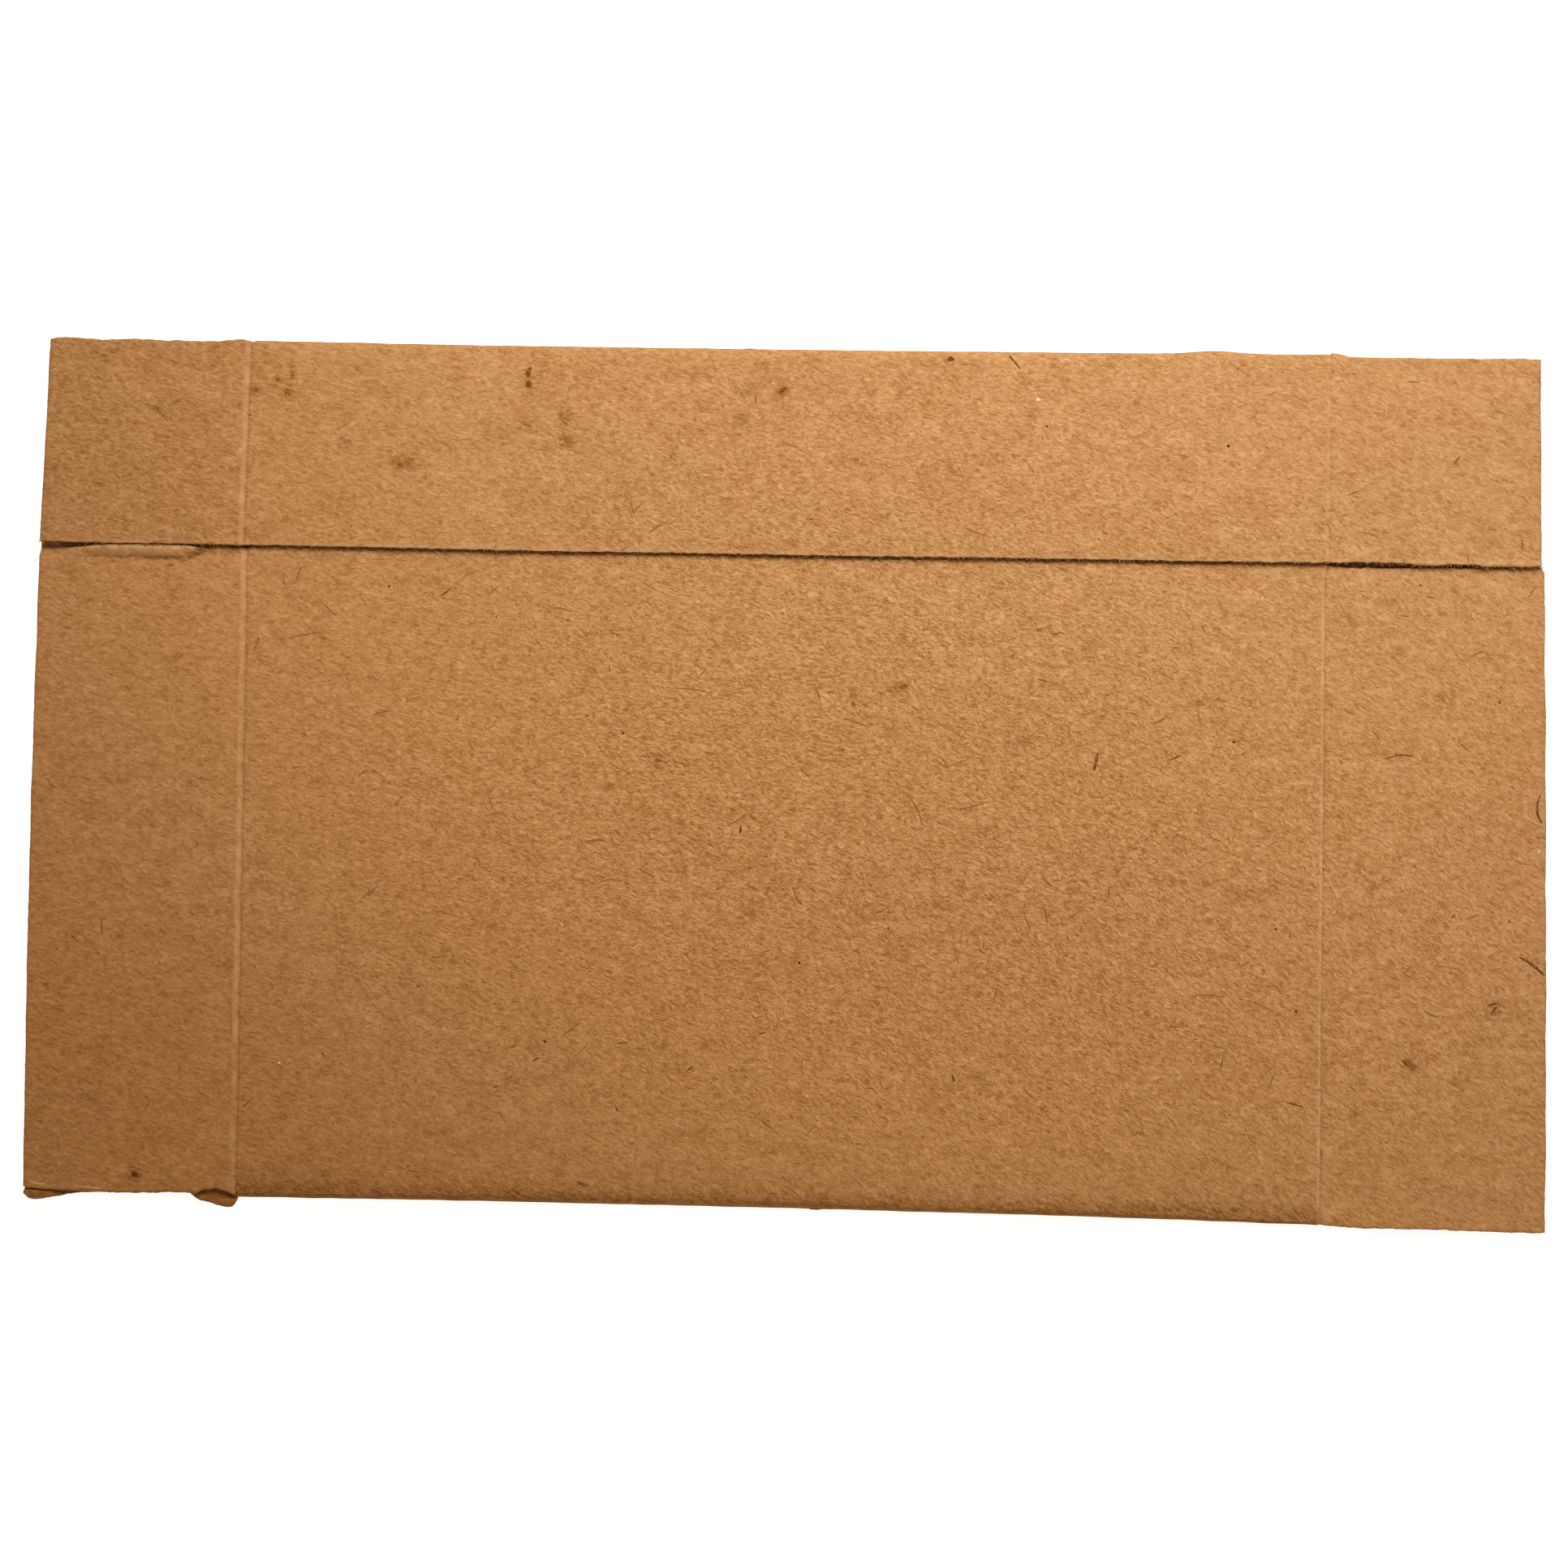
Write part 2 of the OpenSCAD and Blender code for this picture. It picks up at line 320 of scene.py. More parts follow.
def wrap(name, outer, inner, materials, seed):
    """Board that follows a folded path: rows go along the path, columns along the sleeve."""
    rows, cols = outer.shape[:2]
    back_rows = inner.shape[0]
    front = np.arange(rows * cols).reshape(rows, cols)
    back = rows * cols + np.arange(back_rows * cols).reshape(back_rows, cols)
    faces = grid_faces(0, rows, cols) + grid_faces(rows * cols, back_rows, cols, flip=True)
    slots = [0] * ((rows - 1) * (cols - 1)) + [2] * ((back_rows - 1) * (cols - 1))
    points, count = [outer.reshape(-1, 3), inner.reshape(-1, 3)], (rows + back_rows) * cols
    sides = [[front[:, 0]], [front[:, -1]]]
    for end, inside in ((0, 1), (-1, -2)):
        away = outer[end] - outer[inside]
        away /= np.maximum(np.linalg.norm(away, axis=1, keepdims=True), 1e-9)
        layers = [front[end]]
        for level, (depth, bulge) in enumerate(EDGE_LEVELS):
            push = bulge + rough_edge(outer[end][:, 0], seed + end, level)
            points.append(outer[end] * (1 - depth) + inner[end] * depth + away * push[:, None])
            layers.append(count + np.arange(cols))
            count += cols
        layers.append(back[end])
        for a, b in zip(layers, layers[1:]):
            quads = strip_faces(a, b, False)
            faces += (quads[:, ::-1] if end == 0 else quads).tolist()
            slots += [1] * len(quads)
        for column, side in zip((0, -1), sides):
            side.append(np.array([layer[column] for layer in layers[1:-1]]))
    for column, (line, first, last) in zip((0, -1), sides):
        loop = np.concatenate([line, last, back[::-1, column], first[::-1]]).tolist()
        faces.append(loop[::-1] if column == 0 else loop)
        slots.append(2)
    return add_object(name, np.concatenate(points), faces, slots, materials)


def spaced(start, end, pitch, fine=0.0, fine_pitch=0.1):
    """Places from start to end about a pitch apart, closer within a fine margin at both ends."""
    length = abs(end - start)
    places = list(np.linspace(fine, length - fine, max(2, round((length - 2 * fine) / pitch) + 1)))
    if fine:
        steps = max(2, round(fine / fine_pitch) + 1)
        places = list(np.linspace(0, fine, steps)[:-1]) + places
        places += list(np.linspace(length - fine, length, steps)[1:])
    return start + np.array(places) * (1 if end > start else -1)


# Sleeve

# Distance between rows of points across the panels, near the seam and across the rear layer
PANEL_PITCH = 0.33
SEAM_PITCH = 0.1
REAR_PITCH = 1.1
# Depth by which the front panel rolls off at the lower fold, and depth of the dents in both folds
ROLL_OFF = 0.12
FOLD_DENTS = 0.04


def seam_raggedness(x):
    """How far the raw edge of the lapped side panel reaches down past the seam line."""
    ragged = 0.08 * line_noise(x / 1.4, 41) + 0.07 * line_noise(x / 0.55, 42) + 0.1 * line_noise(x / 30, 43)
    return ragged - 0.14 - 0.22 * ease(-x, 20, 52) - 0.07 * ease(x, 20, 50)


SLEEVE_COLUMNS = spaced(-CREASE_X, CREASE_X, 0.3, 1.0, 0.1)


def sleeve_row(y, z):
    """One line of points along the sleeve; y and z are numbers or one value for each column."""
    return np.stack([SLEEVE_COLUMNS, y + 0 * SLEEVE_COLUMNS, z + 0 * SLEEVE_COLUMNS], 1)


def front_panel(materials):
    """Front main panel with its glue tab and the lower fold."""
    x = SLEEVE_COLUMNS
    outer, inner = [], []
    for y in (SEAM_Y + TAB_WIDTH, SEAM_Y + 6, SEAM_Y + 2):
        taper = 1 - (y - SEAM_Y) / TAB_WIDTH * TAB_SLANT / CREASE_X
        outer.append(sleeve_row(y, FRONT_TOP - 0.03) * (taper, 1, 1))
        inner.append(sleeve_row(y, FRONT_TOP - BOARD) * (taper, 1, 1))
    near_seam = spaced(SEAM_Y + 0.6, SEAM_Y - 1.0, SEAM_PITCH)
    for y in np.concatenate([near_seam[:-1], spaced(SEAM_Y - 1.0, LOW_Y, PANEL_PITCH)]):
        place = y + low_bow(x) * ease(-y, 20, -LOW_Y)
        roll = ROLL_OFF * math.exp((LOW_Y - y) / 0.9)
        outer.append(sleeve_row(place, FRONT_TOP + front_relief(x, place) - roll))
    inner += [sleeve_row(SEAM_Y + 0.6, FRONT_TOP - BOARD), sleeve_row(LOW_Y, FRONT_TOP - BOARD)]
    for a in np.linspace(math.pi / 2, -math.pi / 2, 17)[1:]:
        up = max(0.0, math.sin(a))
        dents = FOLD_DENTS * math.cos(a) * plane_noise(x / 3, a + 0 * x, 12)
        reach = LOW_FOLD + (up * (front_relief(x, LOW_Y + 0 * x) - ROLL_OFF) + dents)
        bow = low_bow(x) * (1 + math.sin(a)) / 2
        outer.append(sleeve_row(LOW_Y + bow - reach * math.cos(a), LOW_FOLD + reach * math.sin(a)))
    reach = LOW_FOLD - BOARD
    for a in np.linspace(math.pi / 2, -math.pi / 2, 7)[1:]:
        inner.append(sleeve_row(LOW_Y - reach * math.cos(a), LOW_FOLD + reach * math.sin(a)))
    return wrap("front_panel", np.array(outer), np.array(inner), materials, 5)


def side_and_rear(materials):
    """Rear layer, upper fold and the side panel that laps over the seam."""
    x = SLEEVE_COLUMNS
    outer, inner = [], []
    for y in spaced(LOW_Y, HIGH_Y, REAR_PITCH):
        outer.append(sleeve_row(y, 0.1 * math.exp(-((y - REAR_CREASE_Y) / 0.5) ** 2)))
    for a in np.linspace(-math.pi / 2, math.pi / 2, 19)[1:-1]:
        up = max(0.0, math.sin(a))
        dents = FOLD_DENTS * math.cos(a) * plane_noise(x / 3, a + 0 * x, 13)
        reach = HIGH_FOLD + (up * lap_relief(x, HIGH_Y + 0 * x) + dents)
        bow = high_bow(x) * (1 + math.sin(a)) / 2
        outer.append(sleeve_row(HIGH_Y - bow + reach * math.cos(a), HIGH_FOLD + reach * math.sin(a)))
    rough = seam_raggedness(x)
    for y in spaced(HIGH_Y, SEAM_Y, PANEL_PITCH, 0.5, SEAM_PITCH):
        near = float(ease(-y, -SEAM_Y - 2, -SEAM_Y))
        place = y - high_bow(x) * ease(y, SEAM_Y + 2, HIGH_Y) - rough * near
        rounding = 0.1 * math.exp((SEAM_Y - y) / 0.16)
        outer.append(sleeve_row(place, LAP_TOP + lap_relief(x, place) - rounding))
    inner += [sleeve_row(LOW_Y, BOARD), sleeve_row(HIGH_Y, BOARD)]
    reach = HIGH_FOLD - BOARD
    for a in np.linspace(-math.pi / 2, math.pi / 2, 8)[1:]:
        inner.append(sleeve_row(HIGH_Y + reach * math.cos(a), HIGH_FOLD + reach * math.sin(a)))
    inner += [sleeve_row(SEAM_Y + 2, FRONT_TOP), sleeve_row(SEAM_Y + 0.5, FRONT_TOP + 0.02)]
    inner.append(sleeve_row(SEAM_Y - rough + 0.16, FRONT_TOP + 0.16))
    return wrap("side_and_rear_panels", np.array(outer), np.array(inner), materials, 6)


# Flaps

# Distance between points on a flap in view and on a hidden one
FLAP_PITCH = 0.28
HIDDEN_PITCH = 0.6
# How far the underside of a flap can be pressed down
PRESSED = 0.12


def worn_edge(share, shares, seed):
    """How far a worn flap edge is set back, at shares of the flap's length from its crease."""
    places, losses = zip(*shares)
    coarse = 0.06 * plane_noise(share * 17, share * 0, seed)
    ragged = coarse + 0.035 * plane_noise(share * 47, share * 0, seed + 1)
    return TEAR_DEPTH * np.interp(share, places, losses) + ragged


def flap(name, side, cut, span, shares, top_z, relief, materials, seed):
    """One end flap: a slab from its crease line to its worn outer edge.

    The cut is the flap's length, how much shorter its upper edge is and how far its end bows out.
    The span is the flap's lower and upper edge, and the shares are the wear of these two edges.
    """
    length, skew, bow = cut
    low, high = span
    low_shares, high_shares = shares
    pitch = HIDDEN_PITCH if relief is rear_relief else FLAP_PITCH
    out = np.concatenate([spaced(0, 1.5, 0.1)[:-1], spaced(1.5, length - 0.6, pitch)[:-1],
                          spaced(length - 0.6, length, 0.12)])
    rise = (spaced(low, high, pitch, 1.8, 0.12) - low) / (high - low)
    s, t = np.meshgrid(out / length, rise, indexing="ij")
    run = t * (high - low)
    ragged = 0.07 * plane_noise(run / 5.3, t * 0, seed) + 0.03 * plane_noise(run / 0.7, t * 0, seed + 1)
    full = length - skew * t + 4 * bow * t * (1 - t) + ragged
    y_low = low + worn_edge(s, low_shares, seed + 2)
    y_high = high - worn_edge(s, high_shares, seed + 4)
    x = side * (CREASE_X + s * full)
    y = y_low * (1 - t) + y_high * t
    to_edge = np.minimum(np.minimum(y - y_low, y_high - y), full * (1 - s))
    rounding = 0.1 * np.exp(-np.maximum(to_edge, 0) / 0.13)
    z = top_z + relief(x, y)
    top = np.stack([x, y, z - rounding], 2)
    # A flap that is pressed down gets thinner, because the layer below it doesn't give way
    under = np.maximum(z - crease_relief(x, y), top_z - PRESSED) - BOARD
    bottom = np.stack([x, y, under + rounding], 2)
    if side < 0:
        top, bottom = top[:, ::-1], bottom[:, ::-1]
    return slab(name, top, bottom, materials, seed + 6)


# Marks on the board: place, radii, turn in degrees, strength

RUST_MARKS = (
    (-26.15, 40.1, 0.34, 0.6, 0, 0.9), (-26.1, 39.0, 0.46, 0.5, 20, 1.0),
    (-50.4, 37.7, 0.5, 0.45, 0, 0.8), (-51.35, 40.6, 0.3, 0.3, 0, 0.5),
    (-49.95, 39.9, 0.25, 0.8, 0, 0.7), (-53.7, 38.0, 0.65, 0.34, -5, 1.1),
    (-55.4, 36.5, 0.6, 0.25, 5, 0.9), (-0.6, 38.6, 1.0, 0.5, 40, 1.0), (-4.0, 38.5, 1.1, 0.5, 20, 0.5),
    (-51.45, 39.1, 0.5, 0.45, 0, 0.7), (24.3, 36.5, 0.6, 0.45, 0, 0.5), (11.1, 38.3, 0.4, 0.7, 0, 0.3),
    (60.5, 18.6, 1.2, 0.5, -15, 0.35), (56.3, 16.5, 1.3, 0.7, 0, 0.3), (59.5, 15.0, 2.0, 0.5, 20, 0.3),
    (70.9, -21.6, 0.9, 0.8, 30, 0.6), (-62.0, 40.8, 0.8, 0.3, -20, 0.4),
    (-21.0, -29.5, 2.2, 0.6, 25, 0.3), (20.0, -29.5, 0.6, 0.5, 0, 0.4),
    (-41.0, 9.0, 1.6, 0.6, -20, 0.25),
)
# Sooty marks, with painted shade among them along a wrinkle of the left side flap and in the groove under
# the torn lip
SOOT_AND_SHADE_MARKS = (
    (-38.5, 30.8, 1.5, 0.8, 5, 0.75), (-44.3, 32.6, 0.7, 0.8, 0, 0.65),
    # Both marks on the line below are painted shade along a wrinkle of the left side flap
    (-61.85, 36.6, 1.0, 0.18, 28, 0.55), (-63.6, 36.0, 1.3, 0.22, -36, 0.7),
    (-22.3, 35.5, 0.8, 1.0, 0, 0.65), (-22.2, 33.3, 1.0, 0.8, 0, 0.65), (-26.3, 34.6, 1.0, 0.5, 0, 0.5),
    (-11.3, 32.0, 0.9, 0.6, 0, 0.45), (-4.5, 35.9, 0.7, 0.5, 0, 0.45),
    (-12.4, 1.4, 0.95, 0.65, -25, 0.85), (12.0, 9.3, 0.75, 0.55, 20, 0.8),
    (-64.2, -41.1, 0.7, 0.6, 0, 1.0), (-27.0, -30.5, 0.8, 0.5, 0, 0.45),
    (8.5, -13.2, 1.5, 0.8, -20, 0.3), (30.0, -8.0, 1.0, 0.5, 0, 0.3), (-60.0, -43.0, 3.5, 0.4, 0, 0.4),
    # The last mark on the line below and both marks on the line after it are painted shade under the torn
    # lip, at its torn end and in a faint line beneath
    (62.7, -27.3, 1.2, 0.7, -40, 0.5), (-63.6, 20.98, 3.6, 0.16, 0, 0.9),
    (-59.6, 21.4, 1.3, 0.22, 27, 1.4), (-62.3, 20.25, 1.1, 0.12, 8, 0.7),
    (24.0, 4.0, 1.4, 0.4, 15, 0.45), (41.5, 8.0, 1.6, 0.5, 10, 0.35), (35.0, -9.5, 0.6, 0.8, 30, 0.4),
    (-20.0, 12.0, 1.8, 0.5, -10, 0.3), (5.0, -25.0, 2.0, 0.6, -15, 0.25),
    (66.0, 9.0, 1.5, 0.5, -5, 0.3),
)


def mark_amount(x, y, marks, seed):
    """How strong the strongest of some marks is at each place, patchy like soaked-in dirt; some of the
    sooty marks are painted shade.
    """
    amount = np.zeros_like(x)
    for mx, my, along, across, turn, strength in marks:
        c, s = math.cos(math.radians(turn)), math.sin(math.radians(turn))
        u, v = ((x - mx) * c + (y - my) * s) / along, ((y - my) * c - (x - mx) * s) / across
        amount = np.maximum(amount, strength * np.exp(-1.2 * (u * u + v * v)))
    return amount * np.clip(1 + 0.5 * plane_noise(x / 0.7, y / 0.5, seed), 0, 1.3)


def rubbed_amount(x, y):
    """How pale the board is painted: painted highlight on the beads of the creases and on the rolled crest
    of the torn lip, and a pale rim along the lapped edge at the seam.
    """
    left, right = crease_distances(x, y)
    span, inward, _ = lip_span(x, y)
    # Painted highlight on the beads of the creases
    bead = 0.3 * np.exp(-((left + 0.34) / 0.26) ** 2) * (0.35 + 0.65 * ease(y, -43, -30))
    bead += np.where(y < SEAM_Y, 0.42, 0.16) * np.exp(-((right + 0.16) / 0.15) ** 2)
    # Painted highlight on the rolled crest of the torn lip
    lip = 0.5 * span * np.exp(-((inward - 0.3) / 0.3) ** 2) * (y < SEAM_Y + 0.5)
    # Pale rim along the lapped edge at the seam
    seam = np.where(np.abs(x) < CREASE_X, SEAM_Y - seam_raggedness(x), SIDE_LOW_Y)
    rim = 0.5 * np.exp(-((y - seam) / 0.3) ** 2) * (y > seam - 0.1)
    rim = rim * np.clip(0.7 + 1.2 * plane_noise(x / 0.6, y / 0.35, 65), 0, 1.6)
    return rim + (bead + lip) * np.clip(0.8 + 0.9 * plane_noise(x / 0.7, y / 1.6, 63), 0, 1.6)


def soot_and_shade_amount(x, y, z):
    """Sooty marks and painted shade: dark lines painted along the creases, a painted shadow of the lapped
    edge along the seam, painted shade on the lower fold, and a slight darkening of the side panel that is
    most at its left end.
    """
    left, right = crease_distances(x, y)
    # Painted shade: dark lines along both flap creases
    in_creases = 0.2 * np.exp(-((left - 0.08) / 0.1) ** 2)
    in_creases += np.where(y < SEAM_Y, 0.28, 0.15) * np.exp(-((right - 0.1) / 0.1) ** 2)
    # Painted shadow of the lapped edge, on the front panel along the seam
    seam = np.where(np.abs(x) < CREASE_X, SEAM_Y - seam_raggedness(x), SIDE_LOW_Y - 0.05)
    below_lap = (z < FRONT_TOP + 0.3) * (y < SEAM_Y + 1)
    under_seam = 1.6 * np.exp(-(np.maximum(seam - y, 0) / 0.3) ** 1.4) * below_lap
    # Painted shade on the lower fold
    from_fold = np.minimum(LOW_Y + 0.4 - y, 0)
    on_fold = (0.4 * np.exp(from_fold / 0.55) + 0.12 * np.exp(from_fold / 3.5)) * (np.abs(x) < CREASE_X)
    # Slight darkening of the side panel, most at its left end and least around x = -38
    on_side_panel = (0.08 + 0.09 * ease(-x, 50, 60)) * (z > FRONT_TOP + 0.4)
    on_side_panel = on_side_panel * (1 - np.exp(-((x + 38) / 14) ** 2))
    return in_creases + under_seam + on_fold + on_side_panel + mark_amount(x, y, SOOT_AND_SHADE_MARKS, 62)


def mark(piece, shade_and_grime=0.0):
    """Store how rusty, how sooty and darkened by painted shade, and how pale by painted highlight each
    point of a piece is; the last argument adds painted shade and dirt along its lower edge.
    """
    place = np.empty(3 * len(piece.data.vertices), np.float32)
    piece.data.vertices.foreach_get("co", place)
    x, y, z = place.reshape(-1, 3).T.astype(float) / MM
    shown = z > FRONT_TOP - 0.35
    amounts = {
        "rust": mark_amount(x, y, RUST_MARKS, 61) * shown,
        # Sooty marks with painted shade; the last argument adds painted shade and dirt along the lower edge
        "soot_and_shade": soot_and_shade_amount(x, y, z) * shown + shade_and_grime * ease(-y, 40.5, 42.5),
        # Painted highlight and a pale rim
        "rubbed": rubbed_amount(x, y) * shown,
        "fringe": np.exp(-((y - SEAM_Y) / 0.8) ** 4) * shown,
    }
    for name, amount in amounts.items():
        values = amount.astype(np.float32)
        piece.data.attributes.new(name, "FLOAT", "POINT").data.foreach_set("value", values)


# Materials

def node(tree, kind, inputs, **options):
    """Add a node, set its options, and link or fill its inputs."""
    made = tree.nodes.new(kind)
    for key, value in options.items():
        setattr(made, key, value)
    for key, value in inputs.items():
        if isinstance(value, bpy.types.NodeSocket):
            tree.links.new(value, made.inputs[key])
        else:
            made.inputs[key].default_value = value
    return made


def calc(tree, operation, *values, clamp=False):
    """Result of a Math node, from sockets and numbers."""
    inputs = dict(enumerate(values))
    return node(tree, "ShaderNodeMath", inputs, operation=operation, use_clamp=clamp).outputs[0]


def vector(tree, operation, inputs, result=0):
    """Result of a Vector Math node."""
    return node(tree, "ShaderNodeVectorMath", inputs, operation=operation).outputs[result]


def step(tree, value, low, high, to_low=0.0, to_high=1.0):
    """Smooth step of a value between two limits."""
    return node(tree, "ShaderNodeMapRange", {"Value": value, 1: low, 2: high, 3: to_low, 4: to_high},
                interpolation_type="SMOOTHSTEP").outputs[0]


def tint(tree, amount, under, over, blend="MIX"):
    """Mix of two colours by an amount."""
    inputs = {0: amount, 6: under, 7: over}
    return node(tree, "ShaderNodeMix", inputs, data_type="RGBA", blend_type=blend).outputs[2]


def two_tones(tree, amount, low, dark, high, pale):
    """Colour that goes from dark at a low amount to pale at a high one."""
    ramp = node(tree, "ShaderNodeValToRGB", {"Fac": amount})
    for element, place, shade in zip(ramp.color_ramp.elements, (low, high), (dark, pale)):
        element.position = place
        element.color = (*shade, 1)
    return ramp.outputs["Color"]


def grain(tree, place, along, across, angle, detail, roughness=0.55, shift=0.0):
    """Noise with features of a given length and width in mm, turned in the plane of the board."""
    turned = node(tree, "ShaderNodeMapping", {
        "Vector": place, "Location": (shift, shift, shift), "Rotation": (0, 0, math.radians(angle)),
        "Scale": (along, across, across)}, vector_type="TEXTURE")
    return node(tree, "ShaderNodeTexNoise", {
        "Vector": turned.outputs[0], "Scale": 1, "Detail": detail, "Roughness": roughness}).outputs["Fac"]


def flecks(tree, place, along, across, angle, share, shift):
    """Short separate streaks: the peaks of a stretched noise."""
    return step(tree, grain(tree, place, along, across, angle, 1.5, 0.5, shift), share, share + 0.09)


def new_material(name, roughness, specular):
    """A material with the plain shader, its node tree and that shader."""
    material = bpy.data.materials.new(name)
    material.use_nodes = True
    shader = material.node_tree.nodes["Principled BSDF"]
    shader.inputs["Roughness"].default_value = roughness
    shader.inputs["Specular IOR Level"].default_value = specular
    return material, material.node_tree, shader


def roughen(tree, shader, height, strength, depth):
    """Bump on a shader; the depth is in mm."""
    bump = node(tree, "ShaderNodeBump", {"Strength": strength, "Distance": depth * MM, "Height": height})
    tree.links.new(bump.outputs["Normal"], shader.inputs["Normal"])


def drifted(tree, flat, place, scale, detail, reach):
    """A place that is pushed about by noise over the flat board."""
    noise = node(tree, "ShaderNodeTexNoise", {"Vector": flat, "Scale": scale, "Detail": detail})
    push = vector(tree, "SUBTRACT", {0: noise.outputs["Color"], 1: (0.5, 0.5, 0.5)})
    return vector(tree, "MULTIPLY_ADD", {0: push, 1: (reach, reach, reach), 2: place})


def board_place(tree):
    """Object coordinates in mm, and the same with a slow drift and a curl that bend the grain."""
    coords = node(tree, "ShaderNodeTexCoord", {})
    flat = vector(tree, "SCALE", {0: coords.outputs["Object"], "Scale": 1 / MM})
    bent = drifted(tree, flat, flat, 0.8, 1.0, 0.7)
    return flat, drifted(tree, flat, bent, 2.6, 0.0, 0.3)


def slope(tree, flat, fall):
    """How far a place on the board lies along a direction."""
    return vector(tree, "DOT_PRODUCT", {0: flat, 1: fall}, "Value")


def crispness(tree, flat):
    """How crisp the felt is: most in the middle of the board, least at its ends and its lower edge."""
    away = vector(tree, "MULTIPLY_ADD", {0: flat, 1: (1 / 88, 1 / 62, 0), 2: (-0.18, 0.1, 0)})
    away = vector(tree, "LENGTH", {0: away}, "Value")
    level = node(tree, "ShaderNodeSeparateXYZ", {0: flat}).outputs["Y"]
    return calc(tree, "MULTIPLY", step(tree, away, 1.0, 0.1), step(tree, level, -45.0, -30.0, 0.3, 1.0))


def felted_pulp(tree, flat, place, crisp):
    """Two crossing grains of fine fibres; the steeper one takes over towards the lower right."""
    detail = calc(tree, "MULTIPLY_ADD", crisp, 2.8, 0.4)
    felt = grain(tree, place, 0.7, 0.19, -12, detail, 0.62)
    cross = grain(tree, place, 0.85, 0.18, -36, detail, 0.62, 17)
    slanted = step(tree, slope(tree, flat, (0.5, -0.6, 0)), -20.0, 50.0, 0.25, 0.8)
    felt = calc(tree, "MULTIPLY", felt, calc(tree, "SUBTRACT", 1.0, slanted))
    return calc(tree, "ADD", felt, calc(tree, "MULTIPLY", cross, slanted))


# Marks that are stored with the board, the sooty one carrying painted shade and the pale one painted
# highlight: attribute, shade, blend
STAINS_AND_PAINTED_LIGHT = (("rust", (0.205, 0.064, 0.006, 1), "MIX"), ("soot_and_shade", (0.45, 0.36, 0.15, 1), "MULTIPLY"),
          ("rubbed", (0.66, 0.385, 0.19, 1), "MIX"))


def painted_light_and_marks(tree, flat, pulp, colour):
    """Colour of the board with painted shade that browns and darkens it towards its lower left, where the
    light falls off, and with its marks.
    """
    # Painted shade: warmer and darker towards the lower left
    painted_warm_shade = calc(tree, "ADD", slope(tree, flat, (-0.0035, -0.0065, 0)), 0.45, clamp=True)
    colour = tint(tree, painted_warm_shade, colour, (0.94, 0.85, 0.66, 1), "MULTIPLY")
    # Painted shade: greyer and darker in the far lower left
    painted_shade_falloff = calc(tree, "SUBTRACT", slope(tree, flat, (-0.014, -0.016, 0)), 0.45, clamp=True)
    colour = tint(tree, painted_shade_falloff, colour, (0.865, 0.83, 0.81, 1), "MULTIPLY")
    patchy = step(tree, pulp, 0.36, 0.62, 1.25, 0.65)
    for stored_mark, shade, blend in STAINS_AND_PAINTED_LIGHT:
        amount = node(tree, "ShaderNodeAttribute", {}, attribute_name=stored_mark).outputs["Fac"]
        colour = tint(tree, calc(tree, "MULTIPLY", amount, patchy, clamp=True), colour, shade, blend)
    return colour


def kraft_board(name, dark, pale, with_marks_and_shade):
    """Felted kraft board between a dark and a pale tone."""
    material, tree, shader = new_material(name, 0.9, 0.08)
    flat, place = board_place(tree)
    crisp = crispness(tree, flat)
    pulp = felted_pulp(tree, flat, place, crisp)
    clots = grain(tree, place, 1.2, 0.5, -20, 1, 0.5, 43)
    mottle = grain(tree, flat, 3.2, 1.8, -10, 4, 0.62, 5)
    streaks = calc(tree, "MAXIMUM", flecks(tree, place, 1.4, 0.27, -10, 0.60, 9),
                   flecks(tree, place, 1.1, 0.25, -46, 0.62, 31))
    light_flecks = flecks(tree, place, 1.3, 0.22, -24, 0.64, 23)
    specks = step(tree, grain(tree, place, 0.9, 0.3, -24, 1, 0.5, 57), 0.715, 0.77)

    contrast = calc(tree, "MULTIPLY", calc(tree, "SUBTRACT", pulp, 0.5),
                    calc(tree, "MULTIPLY_ADD", crisp, 1.65, 0.8))
    clotted = calc(tree, "MULTIPLY", calc(tree, "SUBTRACT", clots, 0.5),
                   calc(tree, "MULTIPLY_ADD", crisp, -0.18, 0.34))
    mottled = calc(tree, "MULTIPLY_ADD", mottle, 0.35, 0.325)
    tone = calc(tree, "ADD", calc(tree, "ADD", contrast, clotted), mottled)
    colour = two_tones(tree, tone, 0.2, dark, 0.8, pale)
    seen_streaks = calc(tree, "MULTIPLY", streaks, calc(tree, "MULTIPLY_ADD", crisp, 0.35, 0.2))
    colour = tint(tree, seen_streaks, colour, (0.26, 0.092, 0.015, 1))
    seen_flecks = calc(tree, "MULTIPLY", light_flecks, calc(tree, "MULTIPLY_ADD", crisp, 0.22, 0.08))
    colour = tint(tree, seen_flecks, colour, (0.68, 0.39, 0.19, 1))
    colour = tint(tree, calc(tree, "MULTIPLY", specks, 0.6), colour, (0.19, 0.066, 0.011, 1))
    # The outer face gets the stored marks, with their painted shade and highlight, and painted shade
    # towards its lower left
    if with_marks_and_shade:
        colour = painted_light_and_marks(tree, flat, pulp, colour)
    tree.links.new(colour, shader.inputs["Base Color"])

    height = calc(tree, "MULTIPLY", pulp, calc(tree, "MULTIPLY_ADD", crisp, 0.7, 0.3))
    height = calc(tree, "ADD", height, calc(tree, "MULTIPLY", light_flecks, 0.15))
    height = calc(tree, "ADD", height, calc(tree, "MULTIPLY", clots, 0.3))
    height = calc(tree, "SUBTRACT", height, calc(tree, "MULTIPLY", streaks, 0.1))
    roughen(tree, shader, height, calc(tree, "MULTIPLY_ADD", crisp, 0.68, 0.32), 0.16)
    return material


